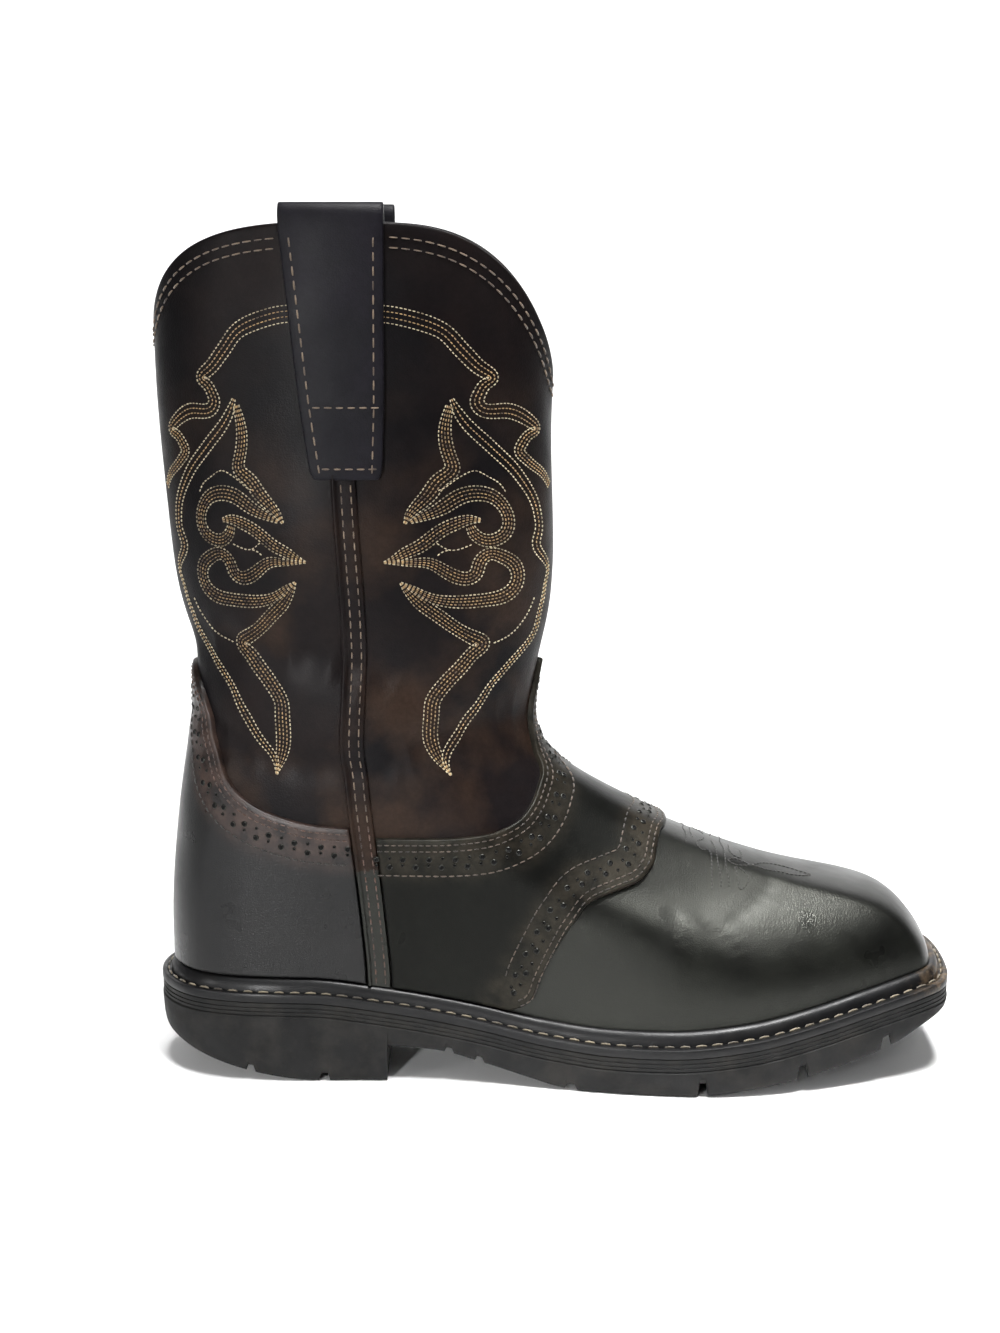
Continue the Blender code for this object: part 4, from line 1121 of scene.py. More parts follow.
def make_outsole():
    """The outsole and heel, with lugs cut across the tread and two channels along it."""
    fine = np.linspace(0, 1, 3001)
    along = outline(fine)[:, 0]
    even = np.linspace(0, 1, SOLE_STATIONS)
    stations = list(even - END_CROWDING * np.sin(2 * math.pi * even))
    for share, width, _ in GROOVES:
        for step in (-0.52, -0.5, -0.5 * GROOVE_TAPER, 0.5 * GROOVE_TAPER, 0.5, 0.52):
            stations.append(np.interp(share * SOLE_LENGTH + step * width, along, fine))
    breast = HEEL_BLOCK_LENGTH
    for x in (breast - 0.0024, breast - 0.0001, breast + 0.0002):
        stations.append(np.interp(x, along, fine))
    turns = np.unique(np.round(stations, 6))
    top = -WELT_THICKNESS - MIDSOLE_THICKNESS
    across = np.linspace(1, -1, TREAD_COLUMNS)
    sides = []
    for side in (-1, 1):
        edge_x = outline(side * turns)[:, 0]
        floor = tread_floor(edge_x)
        walls = []
        for inset, share, lift in SOLE_WALL:
            xy = inset_outline(side * turns, inset + 0 * turns)
            high = welt_height(xy[:, 0]) + top
            z = high + (floor - high) * share + lift
            walls.append(np.concatenate([xy, z[:, None]], 1))
        sides.append(np.array(walls))
    left, right = sides
    first, last = left[-1], right[-1]
    cap = []
    for share in (across[1:-1] + 1) / 2:
        point = first * share + last * (1 - share)
        groove = np.abs(np.abs(point[:, 1]) - CHANNEL_OFFSET) < CHANNEL_WIDTH / 2
        inside = (point[:, 0] > CHANNEL_START * SOLE_LENGTH) & (point[:, 0] < CHANNEL_END * SOLE_LENGTH)
        point[:, 2] = tread_floor(point[:, 0]) + np.where(groove & inside, CHANNEL_DEPTH, 0)
        cap.append(point)
    grid = np.concatenate([left, np.array(cap), right[::-1]])
    faces = faces_between(len(grid), len(turns))
    piece = add_piece("sole_and_heel", grid, faces, SOLE_RUBBER, "black_rubber", 35)
    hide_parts("outsole")


# ---- camera, floor and light

CAMERA_PLACE = np.array([0.133, -0.850, 0.320])
CAMERA_PITCH = math.radians(11.05)
FRAME_WIDTH, FRAME_HEIGHT = 1000, 1333
FOCAL_PIXELS = 2247.0
SENSOR = 36.0  # millimetres

FLOOR_LEVEL = -0.0002  # just under the tread
FLOOR_REACH = 5.0  # to each side
FLOOR_FRONT, FLOOR_BACK = -3.0, 1.2
FLOOR_BEND = 1.0  # radius of the floor's curve up behind
WALL_TOP = 4.0
WORLD_STRENGTH = 0.05  # a faint even light, so that no shadow is quite black

# Soft boxes. Columns: name, place, target, size, power in watts, spread in degrees.
LIGHTS = (
    # whitens the floor, and gives the vamp and the toe their long soft sheen
    ("top_box", (0.02, 0.40, 1.15), (0.02, 0.4001, 0.0), (1.6, 1.60), 6.6, 16),
    # fills the sides that face the camera, and shows folds by their upper slopes
    ("front_box", (0.15, -0.80, 1.0), (0.0, 0.0, 0.1), (1.3, 0.7), 1.2, 150),
    # the bright patch on the vamp
    ("vamp_box", (0.14, -0.30, 1.12), (0.10, 0.05, 0.06), (0.28, 0.34), 1.0, 28),
    # streaks down the counter and the back of the shaft
    ("left_strip", (-0.40, -1.0, 0.24), (-0.10, 0.0, 0.09), (0.07, 0.34), 0.7, 60),
    ("left_box", (-1.05, -0.72, 0.34), (-0.1, 0.0, 0.10), (0.30, 0.45), 0.35, 60),
    # whitens the wall behind
    ("backdrop_box", (0.0, 0.9, 2.4), (0.0, 2.2, 0.5), (3.0, 0.6), 45, 110),
)


def make_camera():
    """The camera stands at the photograph's angle to the boot."""
    lens = bpy.data.cameras.new("camera")
    lens.sensor_fit = "AUTO"
    lens.sensor_width = SENSOR
    lens.lens = FOCAL_PIXELS * SENSOR / FRAME_HEIGHT
    camera = bpy.data.objects.new("camera", lens)
    camera.location = world(CAMERA_PLACE[None])[0]
    camera.rotation_euler = (math.pi / 2 - CAMERA_PITCH, 0, 0)
    bpy.context.scene.collection.objects.link(camera)
    bpy.context.scene.camera = camera


def make_light(name, place, target, size, power, spread):
    """A soft box aimed at a point, its light kept within a spread in degrees."""
    lamp = bpy.data.lights.new(name, "AREA")
    lamp.shape = "RECTANGLE"
    lamp.size, lamp.size_y = size
    lamp.energy = power
    lamp.spread = math.radians(spread)
    box = bpy.data.objects.new(name, lamp)
    box.location = place
    box.rotation_euler = (Vector(target) - Vector(place)).to_track_quat("-Z", "Y").to_euler()
    bpy.context.scene.collection.objects.link(box)


def make_studio():
    """A plain white floor that curves up behind, and the soft boxes."""
    bend = np.radians(np.linspace(8, 90, 12))
    rows = [(FLOOR_FRONT, 0.0), (FLOOR_BACK, 0.0)]
    rows += [(FLOOR_BACK + FLOOR_BEND * math.sin(a), FLOOR_BEND * (1 - math.cos(a))) for a in bend]
    rows.append((FLOOR_BACK + FLOOR_BEND, WALL_TOP))
    points = [(x, y, z + FLOOR_LEVEL) for y, z in rows for x in (-FLOOR_REACH, FLOOR_REACH)]
    mesh = bpy.data.meshes.new("floor")
    mesh.from_pydata(points, [], [list(map(int, f)) for f in faces_between(len(rows), 2)])
    mesh.shade_smooth()
    # matt white paper
    paper = Finish("pale_floor").finish(Base_Color=linear("#fbfbfb"), Roughness=0.9, Specular_IOR_Level=0.1)
    mesh.materials.append(paper)
    floor = bpy.data.objects.new("floor", mesh)
    bpy.context.scene.collection.objects.link(floor)
    studio = bpy.data.worlds.new("studio")
    bpy.context.scene.world = studio
    studio.use_nodes = True
    background = studio.node_tree.nodes["Background"]
    background.inputs["Color"].default_value = linear("#ffffff")
    background.inputs["Strength"].default_value = WORLD_STRENGTH
    bpy.context.scene.view_settings.view_transform = "Standard"
    for light in LIGHTS:
        make_light(*light)


make_camera()
make_studio()
make_upper()
make_counter()
make_saddle()
make_welt()
make_midsole()
make_outsole()
for boot_side in (-1, 1):
    make_side_seam(boot_side)
    make_strap(boot_side)
frame["nodes"]["insole"].data.materials.clear()
frame["nodes"]["insole"].data.materials.append(LINING)


# ---- places on the upper


def make_finder():
    """A search tree over every second point of the upper's table."""
    points = SKIN[::2, :-1:2].reshape(-1, 3)
    tree = KDTree(len(points))
    for index, point in enumerate(points):
        tree.insert(point, index)
    tree.balance()
    return tree


FINDER = make_finder()


def wrapped(turn):
    """Turns past the toe's middle counted from the other side."""
    return np.mod(turn + 1, 2) - 1


def on_skin(points):
    """Turn and rise of the places on the upper nearest to some points."""
    points = np.asarray(points, float).reshape(-1, 3)
    per_row = SKIN[0, :-1:2].shape[0]
    index = np.array([FINDER.find(p)[1] for p in points])
    rise, turn = index // per_row * 2 / RISE_STEPS, index % per_row * 4 / TURN_STEPS - 1
    step, reach = 0.002, 0.01  # of a turn and of the rise: to feel the slope, and to move at most
    for _ in range(2):
        here = skin(turn, rise)
        along_turn = (skin(turn + step, rise) - skin(turn - step, rise)) / (2 * step)
        along_rise = (skin(turn, rise + step) - skin(turn, rise - step)) / (2 * step)
        away = points - here
        tt, rr = (along_turn**2).sum(-1), (along_rise**2).sum(-1)
        tr = (along_turn * along_rise).sum(-1)
        wt, wr = (away * along_turn).sum(-1), (away * along_rise).sum(-1)
        size = np.maximum(tt * rr - tr * tr, 1e-12)
        turn = turn + np.clip((wt * rr - wr * tr) / size, -reach, reach)
        rise = np.clip(rise + np.clip((wr * tt - wt * tr) / size, -reach, reach), 0, 1)
    return wrapped(turn), rise


def seen_at(places):
    """Points of the outer side that show at places of the camera's 1000 x 1333 frame."""
    half = TURN_STEPS // 2
    grid = SKIN[:, : half + 1].reshape(-1, 3)
    out = SKIN_OUT[:, : half + 1].reshape(-1, 3)
    away = grid - CAMERA_PLACE
    facing = (away * out).sum(-1) < 0
    hidden = 1e9
    deep = away[:, 1] * math.cos(CAMERA_PITCH) - away[:, 2] * math.sin(CAMERA_PITCH)
    high = away[:, 2] * math.cos(CAMERA_PITCH) + away[:, 1] * math.sin(CAMERA_PITCH)
    across = FRAME_WIDTH / 2 + FOCAL_PIXELS * away[:, 0] / deep
    down = FRAME_HEIGHT / 2 - FOCAL_PIXELS * high / deep
    found = []
    for u, v in places:
        apart = (across - u) ** 2 + (down - v) ** 2
        found.append(grid[np.argmin(np.where(facing, apart, hidden))])
    return np.array(found)


LINE_STEP = 0.0005


def resample(points, step):
    """Evenly spaced points along a line."""
    length = np.concatenate([[0], np.cumsum(np.linalg.norm(np.diff(points, axis=0), axis=1))])
    count = max(2, int(round(length[-1] / step)) + 1)
    at = np.linspace(0, length[-1], count)
    return np.stack([np.interp(at, length, points[:, k]) for k in range(3)], -1)


def smooth_line(points, *others):
    """A smooth line through a few points, in fine steps."""
    length = np.concatenate([[0], np.cumsum(np.linalg.norm(np.diff(points, axis=0), axis=1))])
    at = np.linspace(0, length[-1], max(8, int(length[-1] / LINE_STEP)))
    made = [spline(length, points)(at)]
    made += [np.interp(at, length, other) for other in others]
    return made if others else made[0]


LINE_BREAK = 0.008  # neighbours further apart than this belong to two lines
LINE_LEAST = 24  # points that a line has at least


def beside(points, distance):
    """Lines on the upper beside another one, to the right of its direction seen from outside."""
    turn, rise = on_skin(points)
    normal = read_table(SKIN_OUT, turn, rise)
    along = np.gradient(points, axis=0)
    side = np.cross(along, normal)
    side /= np.maximum(np.linalg.norm(side, axis=-1, keepdims=True), 1e-12)
    moved = points + side * distance
    apart = np.linalg.norm(moved[:, None] - points[None], axis=-1).min(1)
    moved = moved[apart > np.abs(distance) * 0.97]
    turn, rise = on_skin(moved)
    moved = skin(turn, rise)
    breaks = np.nonzero(np.linalg.norm(np.diff(moved, axis=0), axis=1) > LINE_BREAK)[0] + 1
    return [rounded(line) for line in np.split(moved, breaks) if len(line) > LINE_LEAST]


def averaged(rows, reach):
    """Each row averaged with its neighbours, the near ones more."""
    weights = np.hanning(2 * reach + 1)
    weights = weights / weights.sum()
    padded = np.pad(rows, ((reach, reach), (0, 0)), "edge")
    return np.stack([np.convolve(padded[:, k], weights, "valid") for k in range(3)], -1)


def rounded(line):
    """A line with its corners rounded over a few millimetres."""
    turn, rise = on_skin(averaged(resample(line, LINE_STEP), 5))
    return skin(turn, rise)


# Kinds of stitch: from one to the next, the length of one, and half the thickness of its thread
SCROLL_STITCH = (0.00158, 0.00106, 0.00025)
EDGE_STITCH = (0.0026, 0.0020, 0.00030)
BAND_STITCH = (0.0030, 0.0024, 0.00032)
VAMP_STITCH = (0.0017, 0.0016, 0.00026)
COLLAR_STITCH = (0.0044, 0.0034, 0.00036)
SEAM_STITCH = (0.0042, 0.0031, 0.00034)
LOW_SEAM_STITCH = (0.0034, 0.0026, 0.00034)
STRAP_STITCH = (0.0050, 0.0036, 0.00040)
STRAP_CROSS_STITCH = (0.0042, 0.0031, 0.00040)
WELT_STITCH = (0.0060, 0.0044, 0.00042)

SHADE_SPREAD = 0.26  # how much stitches differ in brightness
# Rings of a stitch from end to end: place along it, height over the leather and width, as shares
STITCH_RINGS = ((-1, -0.9, 0), (-0.78, 0.05, 0.8), (0, 0.45, 1), (0.78, 0.05, 0.8), (1, -0.9, 0))
STITCH_POINTS = 14


class Stitches:
    """Stitches gathered from many rows, then joined in one mesh."""

    def __init__(self, name, finish, slot, seed):
        self.name, self.finish, self.slot = name, finish, slot
        self.random = np.random.default_rng(seed)
        self.middles, self.alongs, self.outs = [], [], []
        self.halves, self.radii, self.shades = [], [], []

    def add(self, middle, along, out, stitch, shade):
        """Stitches at some middles, each along a direction and standing on a face."""
        _, length, radius = stitch
        count = len(middle)
        self.middles.append(middle)
        self.alongs.append(along / np.maximum(np.linalg.norm(along, axis=-1, keepdims=True), 1e-12))
        self.outs.append(out)
        self.halves.append(np.full(count, length / 2) * self.random.uniform(0.9, 1.08, count))
        self.radii.append(np.full(count, radius))
        self.shades.append(shade + self.random.normal(0, SHADE_SPREAD, count))

    def rows(self, lines, *facts):
        """A row of stitches along each of some lines."""
        for line in lines:
            self.row(line, *facts)

    def row(self, points, stitch, lift, shade=0.5):
        """A row of stitches along a line on the upper, on a face that stands lift above it."""
        line = resample(points, stitch[0])
        if len(line) < 3:
            return
        middle, along = (line[1:] + line[:-1]) / 2, line[1:] - line[:-1]
        turn, rise = on_skin(middle)
        out = lifted(turn, rise, 1.0) - skin(turn, rise)
        self.add(skin(turn, rise) + out * lift, along, out, stitch, shade)

    def build(self):
        """Makes one mesh of spindle-shaped stitches whose ends sink into the leather."""
        middle, along, out = (np.concatenate(v) for v in (self.middles, self.alongs, self.outs))
        half, radius, shade = (np.concatenate(v) for v in (self.halves, self.radii, self.shades))
        side = np.cross(out, along)
        side /= np.maximum(np.linalg.norm(side, axis=-1, keepdims=True), 1e-12)
        out = np.cross(along, side)
        rings = []
        for share, height, wide in STITCH_RINGS:
            centre = middle + along * (half * share)[:, None] + out * (radius * height)[:, None]
            if wide == 0:
                rings.append(centre[:, None])
                continue
            for a in np.radians([45, 135, 225, 315]):
                spread = side * math.cos(a) + out * math.sin(a)
                rings.append((centre + spread * (radius * wide)[:, None])[:, None])
        points = np.concatenate(rings, 1)
        faces = [(0, 1 + (k + 1) % 4, 1 + k) for k in range(4)]
        for ring in (1, 5):
            for k in range(4):
                beyond = (k + 1) % 4
                faces.append((ring + k, ring + beyond, ring + 4 + beyond, ring + 4 + k))
        faces += [(9 + k, 9 + (k + 1) % 4, 13) for k in range(4)]
        all_faces = repeated(faces, len(points), STITCH_POINTS)
        shades = np.repeat(shade, STITCH_POINTS)
        add_piece(self.name, points, all_faces, self.finish, self.slot, 0, shades)


# ---- embroidery

# Lines of stitching charted on the back half of the outer side. Each row gives the middle of a
# band in sevenths of a pixel of the camera's frame, across and down from (150, 290), and its width.
# Columns: across, down, width.
ARCH = (
    (1030, 163, 110), (935, 175, 110), (820, 195, 110), (700, 235, 110), (600, 300, 100), (530, 385, 100),
    (480, 470, 100), (440, 530, 95), (390, 570, 90), (350, 610, 70), (400, 660, 75), (435, 720, 80),
    (450, 780, 85), (430, 830, 90), (370, 845, 95), (290, 850, 100), (220, 880, 95), (170, 940, 80),
    (150, 975, 60), (190, 1010, 70), (230, 1070, 80), (250, 1120, 75), (235, 1170, 70), (190, 1220, 65),
    (150, 1280, 60), (125, 1370, 50),
)
LONG_LINE = (
    (590, 760, 20), (560, 850, 60), (500, 960, 75), (430, 1060, 80), (360, 1150, 80), (300, 1230, 80),
    (250, 1320, 78), (220, 1420, 75), (205, 1520, 75), (205, 1600, 75), (215, 1680, 75), (240, 1770, 75),
    (220, 1880, 60), (215, 1960, 35), (240, 2050, 30), (265, 2150, 35), (300, 2250, 45), (345, 2370, 50),
    (410, 2480, 45), (470, 2590, 45), (530, 2690, 45), (580, 2780, 45), (620, 2880, 55), (680, 2990, 65),
    (750, 3100, 60), (820, 3190, 55), (880, 3280, 50), (890, 3390, 10),
)
BRANCH = (
    (600, 800, 40), (630, 900, 60), (645, 1000, 75), (640, 1100, 80), (625, 1180, 80), (620, 1250, 90),
    (690, 1330, 95), (760, 1420, 95), (830, 1500, 80), (890, 1580, 50), (935, 1635, 8),
)
UPPER_SCROLL = (
    (900, 1620, 20), (800, 1570, 60), (700, 1510, 90), (600, 1450, 100), (500, 1425, 100), (420, 1450, 90),
    (370, 1520, 80), (360, 1600, 80), (385, 1680, 85), (440, 1740, 85), (510, 1745, 85), (560, 1700, 70),
    (570, 1650, 50),
)
TAIL = (
    (500, 1610, 20), (560, 1600, 60), (640, 1630, 80), (720, 1680, 80), (800, 1740, 80), (880, 1800, 80),
    (960, 1850, 70), (1040, 1885, 40), (1095, 1905, 6),
)
LOWER_SCROLL = (
    (1100, 1905, 6), (1010, 1905, 30), (920, 1910, 50), (840, 1910, 70), (770, 1950, 80), (710, 2000, 90),
    (640, 2015, 90), (590, 1990, 80), (565, 1910, 80), (500, 1840, 80), (430, 1860, 90), (380, 1920, 95),
    (375, 2000, 95), (400, 2080, 100), (470, 2140, 100), (560, 2170, 90), (670, 2180, 90), (780, 2170, 80),
    (880, 2150, 60), (960, 2090, 40), (1025, 2040, 6),
)
LEG_LINE = (
    (1025, 2040, 6), (990, 2110, 50), (930, 2200, 90), (850, 2280, 90), (770, 2360, 90), (690, 2430, 100),
    (640, 2470, 100), (690, 2530, 95), (750, 2610, 100), (820, 2700, 100), (880, 2790, 100),
    (915, 2880, 100), (930, 2980, 105), (935, 3080, 105), (930, 3180, 100), (915, 3270, 80),
    (900, 3340, 40), (890, 3395, 6),
)
SINGLES = (
    ((345, 1415), (380, 1350), (430, 1300), (500, 1265), (560, 1290), (620, 1330), (690, 1390),
     (720, 1410)),
    ((575, 1780), (640, 1805), (710, 1810), (760, 1780), (770, 1765)),
    ((710, 1810), (750, 1830), (790, 1865)),
    ((310, 2145), (350, 2240), (410, 2330), (490, 2410), (590, 2470)),
)
# Bands: their chart, how many lines fill them, and how bright their thread is
BANDS = (
    (ARCH, 4, 0.75), (LONG_LINE, 3, 0.85), (BRANCH, 5, 0.55), (UPPER_SCROLL, 5, 0.45), (TAIL, 5, 0.5),
    (LOWER_SCROLL, 5, 0.45), (LEG_LINE, 5, 0.5),
)
FRONT_STRETCH = 0.155  # the front half is drawn wider than the back half and nearer to the seam
FRONT_SHIFT = 9.1  # degrees round the shaft
FRONT_LOW, FRONT_HIGH = 0.12, 0.19  # heights between which this grows
CHART_CORNER = (150, 290)
CHART_SCALE = 7  # parts to a pixel
PIXEL_SIZE = 0.00038  # metres on the shaft to a pixel of the frame


def charted(rows):
    """The points on the boot's outer side for rows of a chart."""
    places = [(CHART_CORNER[0] + r[0] / CHART_SCALE, CHART_CORNER[1] + r[1] / CHART_SCALE) for r in rows]
    return seen_at(places)


def band_lines(rows, count):
    """The lines of stitches that fill a band."""
    middle, width = smooth_line(charted(rows), columns(rows)[2])
    width = width / CHART_SCALE * PIXEL_SIZE
    turn, rise = on_skin(middle)
    normal = read_table(SKIN_OUT, turn, rise)
    side = np.cross(normal, np.gradient(middle, axis=0))
    side /= np.maximum(np.linalg.norm(side, axis=-1, keepdims=True), 1e-12)
    side = averaged(side, 4)
    for share in np.linspace(-0.5, 0.5, count):
        turn, rise = on_skin(middle + side * (width * share)[:, None])
        yield share, turn, rise


def both_halves(turn, rise):
    """A line on the back half of a side, and its copy in front of the seam, with the name of each part."""
    angles = leg_angle(np.linspace(0, 1, 801))
    height = skin(turn, rise)[:, 2]
    from_seam = 90 - leg_angle(turn)
    above = np.clip((height - FRONT_LOW) / (FRONT_HIGH - FRONT_LOW), 0, 1)
    from_seam = from_seam + (FRONT_STRETCH * from_seam - FRONT_SHIFT) * above
    front = np.interp(90 + from_seam, angles, np.linspace(0, 1, 801))
    front_rise = rise_at(-front, height)
    return ("back", np.abs(turn), rise), ("front", front, front_rise)


SCROLL_LIFT = 0.00006  # the scrolls' thread lies just clear of the leather


def make_embroidery():
    """Scrolled stitching on both sides of the shaft, in bands of gold and cream rows."""
    made = {}
    for number, side in enumerate((-1, 1)):
        for part in ("back", "front"):
            for colour, finish in (("gold", GOLD_THREAD), ("cream", CREAM_THREAD)):
                name = f"embroidery_{'outer' if side < 0 else 'inner'}_{part}_{colour}"
                made[side, part, colour] = Stitches(name, finish, "oiled_brown_leather", 20 + number)
    lines = []
    for rows, count, tone in BANDS:
        for share, turn, rise in band_lines(rows, count):
            colour = "gold" if abs(share) < 0.4 else "cream"
            lines.append((colour, tone + 0.2 * share, turn, rise))
    for rows in SINGLES:
        turn, rise = on_skin(smooth_line(charted(rows)))
        lines.append(("cream", 0.8, turn, rise))
    for colour, tone, turn, rise in lines:
        for part, turns, rises in both_halves(turn, rise):
            for side in (-1, 1):
                line = skin(side * turns, rises)
                made[side, part, colour].row(line, SCROLL_STITCH, SCROLL_LIFT, tone)
    for stitches in made.values():
        stitches.build()


# ---- seams


def foot_edge(first, last):
    """The line of the foot part's top edge from one turn to another."""
    turn = wrapped(np.linspace(first, last, 1400))
    return resample(skin(turn, foot_edge_rise(turn)), LINE_STEP)


# Rings of a punched hole from its middle to its rim's outer edge: share of its radius, and lift
HOLE_RINGS = ((0.0, 0.00006), (0.8, 0.00007), (1.0, 0.00032), (1.25, 0.00026), (1.5, 0.0))


def make_holes(name, points, outs, radii, finish, slot):
    """Punched holes: small dark dishes with a soft rim round each."""
    count = 10
    rings = []
    across = np.cross(outs, [0.0, 0.0, 1.0])
    across /= np.maximum(np.linalg.norm(across, axis=-1, keepdims=True), 1e-12)
    other = np.cross(outs, across)
    for reach, lift in HOLE_RINGS:
        for a in np.linspace(0, 2 * math.pi, count, endpoint=False):
            spread = (across * math.cos(a) + other * math.sin(a)) * (radii * reach)[:, None]
            rings.append((points + spread + outs * lift)[:, None])
    grid = np.concatenate(rings, 1)
    dish = faces_between(3, count, True)[:, ::-1]
    size = len(HOLE_RINGS) * count
    add_piece(name, grid, repeated(dish, len(points), size), HOLE_DARK, slot, 0)
    rims = repeated(dish + 2 * count, len(points), size)
    add_piece(name + "_rims", grid, rims, finish, slot, 0)


def hole_row(edge, offsets, pitch, radius):
    """Holes that step from one offset beside an edge to another."""
    found = []
    for number, offset in enumerate(offsets):
        for line in beside(edge, offset):
            line = resample(line, pitch)
            if number % 2:
                line = (line[1:] + line[:-1]) / 2
            found.append(line)
    points = np.concatenate(found)
    turn, rise = on_skin(points)
    out = lifted(turn, rise, 1.0) - skin(turn, rise)
    return skin(turn, rise) + out * COVER_LIFT, out, np.full(len(points), radius)


COVER_LIFT = OVERLAY + OVERLAY_GAP + 0.00008  # the covers' top face over the upper's
EDGE_ROWS = (0.0022, 0.0046)  # from a cover's top edge to its double row
WING_EDGE_ROWS = (-0.0020, -0.0043)  # the same from the wing's edge, which lies on the other side
BAND_ROW = 0.0142  # to the row along the band's lower edge
WING_BAND_ROW = -0.0148
HOLE_ROWS = (0.0078, 0.0108)
WING_HOLE_ROWS = (-0.0078, -0.0110)
HOLE_PITCH = 0.0100
HOLE_RADIUS = 0.00082
SMALL_HOLE_RADIUS = 0.00045
SMALL_HOLE_SHARE = 0.93  # the small holes lie a little nearer to the edge than the large ones
SEAM_CLEARANCE = 0.018  # of a turn, from the side seam's middle to the first stitch of a row
WING_CLEARANCE = 0.004  # the same from the wing's lower corner


def make_foot_seams():
    """Rows of stitches and punched holes along the edges of the counter and the saddle."""
    rows = {}
    threads = (("band", BROWN_THREAD, 31), ("saddle", SADDLE_THREAD, 32), ("counter", DARK_THREAD, 33))
    for name, finish, seed in threads:
        rows[name] = Stitches(name + "_seams", finish, "smooth_dark_leather", seed)
    start = SEAM_TURN + SEAM_CLEARANCE
    counter_edge = foot_edge(SEAM_TURN - SEAM_CLEARANCE, -SEAM_TURN + SEAM_CLEARANCE)
    saddle_edge = foot_edge(-start, -2 + start)
    for edge, main, low in ((counter_edge, "band", "counter"), (saddle_edge, "saddle", "saddle")):
        for offset in EDGE_ROWS:
            rows[main].rows(beside(edge, offset), EDGE_STITCH, COVER_LIFT)
        rows[low].rows(beside(edge, BAND_ROW), BAND_STITCH, COVER_LIFT, 0.6)
    first = WING[0][0] + WING_CLEARANCE
    turn = wrapped(np.linspace(-first, -2 + first, 1600))
    wing = resample(skin(turn, rise_at(turn, wing_height(turn))), LINE_STEP)
    for offset in WING_EDGE_ROWS:
        rows["saddle"].rows(beside(wing, offset), EDGE_STITCH, COVER_LIFT)
    rows["saddle"].rows(beside(wing, WING_BAND_ROW), BAND_STITCH, COVER_LIFT, 0.3)
    for stitches in rows.values():
        stitches.build()
    punched = (
        ("counter", counter_edge, HOLE_ROWS),
        ("saddle", saddle_edge, HOLE_ROWS),
        ("wing", wing, WING_HOLE_ROWS),
    )
    for name, edge, offsets in punched:
        nearer = [o * SMALL_HOLE_SHARE for o in offsets][::-1]
        for title, places, radius in (("", offsets, HOLE_RADIUS), ("small_", nearer, SMALL_HOLE_RADIUS)):
            row = hole_row(edge, places, HOLE_PITCH, radius)
            make_holes(title + "holes_" + name, *row, FOOT_LEATHER, "smooth_dark_leather")


# The vamp's ornament, charted in parts of a pixel of the camera's frame, across and down from
# its corner: the rows that cross the vamp, and the petals and leaf in front of them.
VAMP_ROWS = (
    ((165, 190), (190, 260), (200, 360)),
    ((245, 240), (262, 310)),
    ((362, 309), (343, 335), (300, 345), (362, 432), (402, 427), (441, 510), (446, 608), (446, 706),
     (451, 813)),
    ((431, 338), (490, 421), (510, 549), (529, 666), (534, 784)),
    ((514, 348), (563, 451), (588, 568), (608, 666), (617, 784)),
    ((676, 598), (700, 706), (725, 813), (784, 774), (808, 706), (784, 666), (730, 608), (676, 598)),
)
VAMP_LEAVES = (
    ((612, 377), (622, 421), (676, 490), (710, 510), (730, 470), (715, 431)),
    ((608, 529), (666, 510), (735, 534), (804, 578), (745, 578), (686, 578), (627, 549), (608, 529)),
    ((833, 578), (882, 559), (1000, 563), (1176, 603), (1323, 647), (1411, 666), (1362, 676), (1225, 666),
     (1098, 637), (980, 617), (882, 588), (833, 578)),
)
VAMP_CORNER = (665, 805)
VAMP_SCALE = 9.6  # parts to a pixel


def make_vamp_ornament():
    """Dark stitching across the vamp, on both sides of its ridge."""
    stitches = Stitches("vamp_ornament", DARK_THREAD, "smooth_dark_leather", 45)
    for rows, sides in ((VAMP_ROWS, (-1, 1)), (VAMP_LEAVES, (-1,))):
        for row in rows:
            places = [(VAMP_CORNER[0] + u / VAMP_SCALE, VAMP_CORNER[1] + v / VAMP_SCALE) for u, v in row]
            turn, rise = on_skin(smooth_line(seen_at(places)))
            for side in sides:
                stitches.row(skin(-side * turn, rise), VAMP_STITCH, 0.0)
    stitches.build()


COLLAR_ROWS = (-0.0042, -0.0078)  # from the collar's edge to its double row
COLLAR_LIFT = 0.0001
SEAM_ROWS = (-0.22, 0.56)  # rows on a side seam's strip, as shares of half its width
SEAM_LIFT = SEAM_THICKNESS - 0.0003


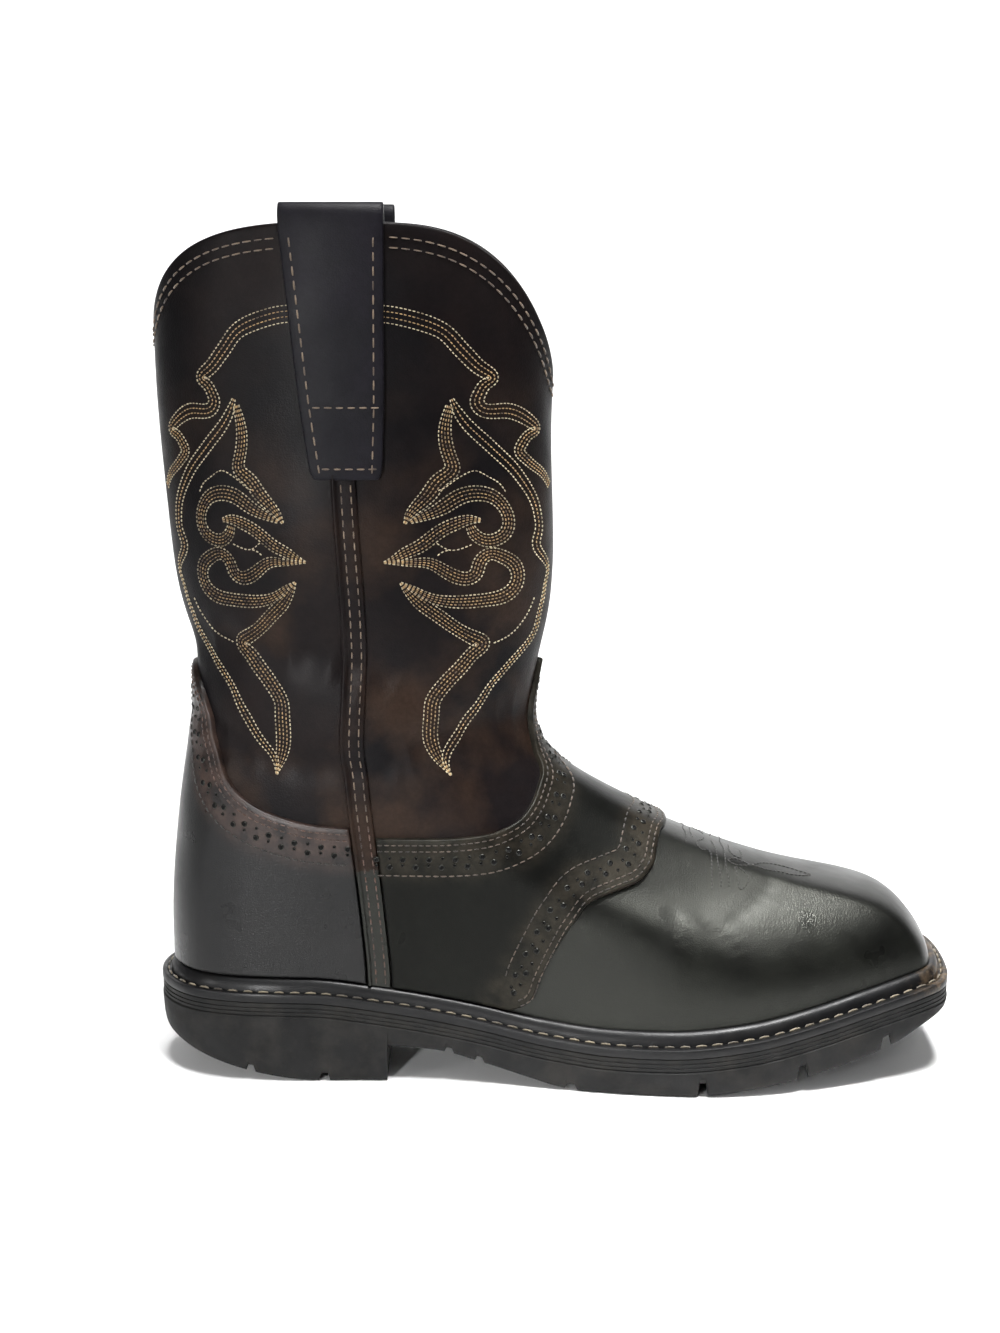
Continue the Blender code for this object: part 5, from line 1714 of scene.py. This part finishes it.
def make_shaft_seams():
    """The collar's double row and the side seams' rows."""
    collar = Stitches("collar_seams", TAUPE_THREAD, "oiled_brown_leather", 41)
    turn = np.linspace(-1, 1, 2400)
    rim = resample(skin(turn, 1.0), LINE_STEP)
    middle = SHAFT_START + SHAFT_DEPTH * STRAP_PLACE
    clear = STRAP_WIDTH / 2 + 0.001
    for offset in COLLAR_ROWS:
        line = np.concatenate(beside(rim, offset))
        for side in (-1, 1):
            for end in (-1, 1):
                keep = (line[:, 1] * side > 0) & ((line[:, 0] - middle) * end > clear)
                part = line[keep]
                part = part[np.argsort(part[:, 0])]
                collar.row(part, COLLAR_STITCH, COLLAR_LIFT)
    collar.build()
    seams = Stitches("side_seam_stitches", TAUPE_THREAD, "oiled_brown_leather", 42)
    low_seams = Stitches("side_seam_stitches_low", BROWN_THREAD, "smooth_dark_leather", 43)
    count = 900
    for side in (-1, 1):
        place = side * SEAM_TURN
        low = float(rise_at(place, lip_height(np.array(place)))) + 0.004
        high = float(rise_at(place, STRAP_END - 0.001))
        rises = np.linspace(low, high, count)
        half = seam_half_turn(np.full(count, place), rises)
        for share in SEAM_ROWS:
            line = skin(place + side * half * share, rises)
            upper = line[:, 2] > SADDLE_SIDE + 0.006
            seams.row(line[upper], SEAM_STITCH, SEAM_LIFT, 0.45)
            low_seams.row(line[~upper], LOW_SEAM_STITCH, SEAM_LIFT)
    seams.build()
    low_seams.build()


SPOT_ROWS, SPOT_COLUMNS = 60, 31


def strap_spot(side, across, z):
    """A point on the outside of a strap, across from its middle in metres, with its way outwards."""
    rows = strap_points(side, SPOT_ROWS, SPOT_COLUMNS, STRAP_THICKNESS)[:SPOT_ROWS]
    heights = rows[:, 0, 2]
    share = across / strap_width(z) + 0.5
    i = np.clip(np.searchsorted(heights, z) - 1, 0, SPOT_ROWS - 2)
    b = ((z - heights[i]) / (heights[i + 1] - heights[i]))[:, None]
    u = np.clip(share, 0, 1) * (SPOT_COLUMNS - 1)
    j = np.minimum(u.astype(int), SPOT_COLUMNS - 2)
    a = (u - j)[:, None]
    low = rows[i, j] * (1 - a) + rows[i, j + 1] * a
    high = rows[i + 1, j] * (1 - a) + rows[i + 1, j + 1] * a
    out = np.cross(rows[i, j + 1] - rows[i, j], rows[i + 1, j] - rows[i, j])
    out /= np.linalg.norm(out, axis=-1, keepdims=True)
    out *= np.sign(out[:, 1] * side)[:, None]
    return low * (1 - b) + high * b, out


STRAP_ROW = 0.0036  # from a strap's edge to its row of stitches
STRAP_END_ROOM = 0.004  # from a strap's lower end to its lowest cross row
SMALL_STEP = 0.001  # to the next spot, for a stitch's direction


def make_strap_seams():
    """Rows along the straps' edges and two rows across."""
    stitches = Stitches("strap_seams", TAUPE_THREAD, "oiled_brown_leather", 44)
    for side in (-1, 1):
        for edge in (-1, 1):
            z = np.arange(STRAP_END + STRAP_END_ROOM, COLLAR_HEIGHT - 0.003, STRAP_STITCH[0])
            above = z + SMALL_STEP
            place, out = strap_spot(side, edge * (strap_width(z) / 2 - STRAP_ROW), z)
            ahead, _ = strap_spot(side, edge * (strap_width(above) / 2 - STRAP_ROW), above)
            stitches.add(place, ahead - place, out, STRAP_STITCH, 0.6)
        for z_row in (STRAP_SEAM, STRAP_END + STRAP_END_ROOM):
            pitch = STRAP_CROSS_STITCH[0]
            reach = float(strap_width(z_row)) / 2 - 0.0040
            across = np.arange(-reach, reach, pitch) + pitch / 2
            z = np.full(len(across), z_row)
            place, out = strap_spot(side, across, z)
            ahead, _ = strap_spot(side, across + SMALL_STEP, z)
            stitches.add(place, ahead - place, out, STRAP_CROSS_STITCH, 0.55)
    stitches.build()


WELT_ROW = LIP_WIDTH + 0.0011  # from the upper to the welt's row


def make_welt_stitches():
    """Light thread in the welt's channel, right round the boot."""
    stitches = Stitches("welt_stitches", WELT_THREAD, "black_welt", 51)
    turn = np.linspace(-1, 1, 3000)
    xy = inset_outline(turn, margin(turn) - WELT_ROW)
    line = np.concatenate([xy, (welt_height(xy[:, 0]) - 0.0001)[:, None]], 1)
    line = resample(line, WELT_STITCH[0])
    middle, along = (line[1:] + line[:-1]) / 2, line[1:] - line[:-1]
    out = np.tile([0.0, 0.0, 1.0], (len(middle), 1))
    stitches.add(middle, along, out, WELT_STITCH, 0.5)
    stitches.build()


make_embroidery()
make_foot_seams()
make_vamp_ornament()
make_shaft_seams()
make_strap_seams()
make_welt_stitches()
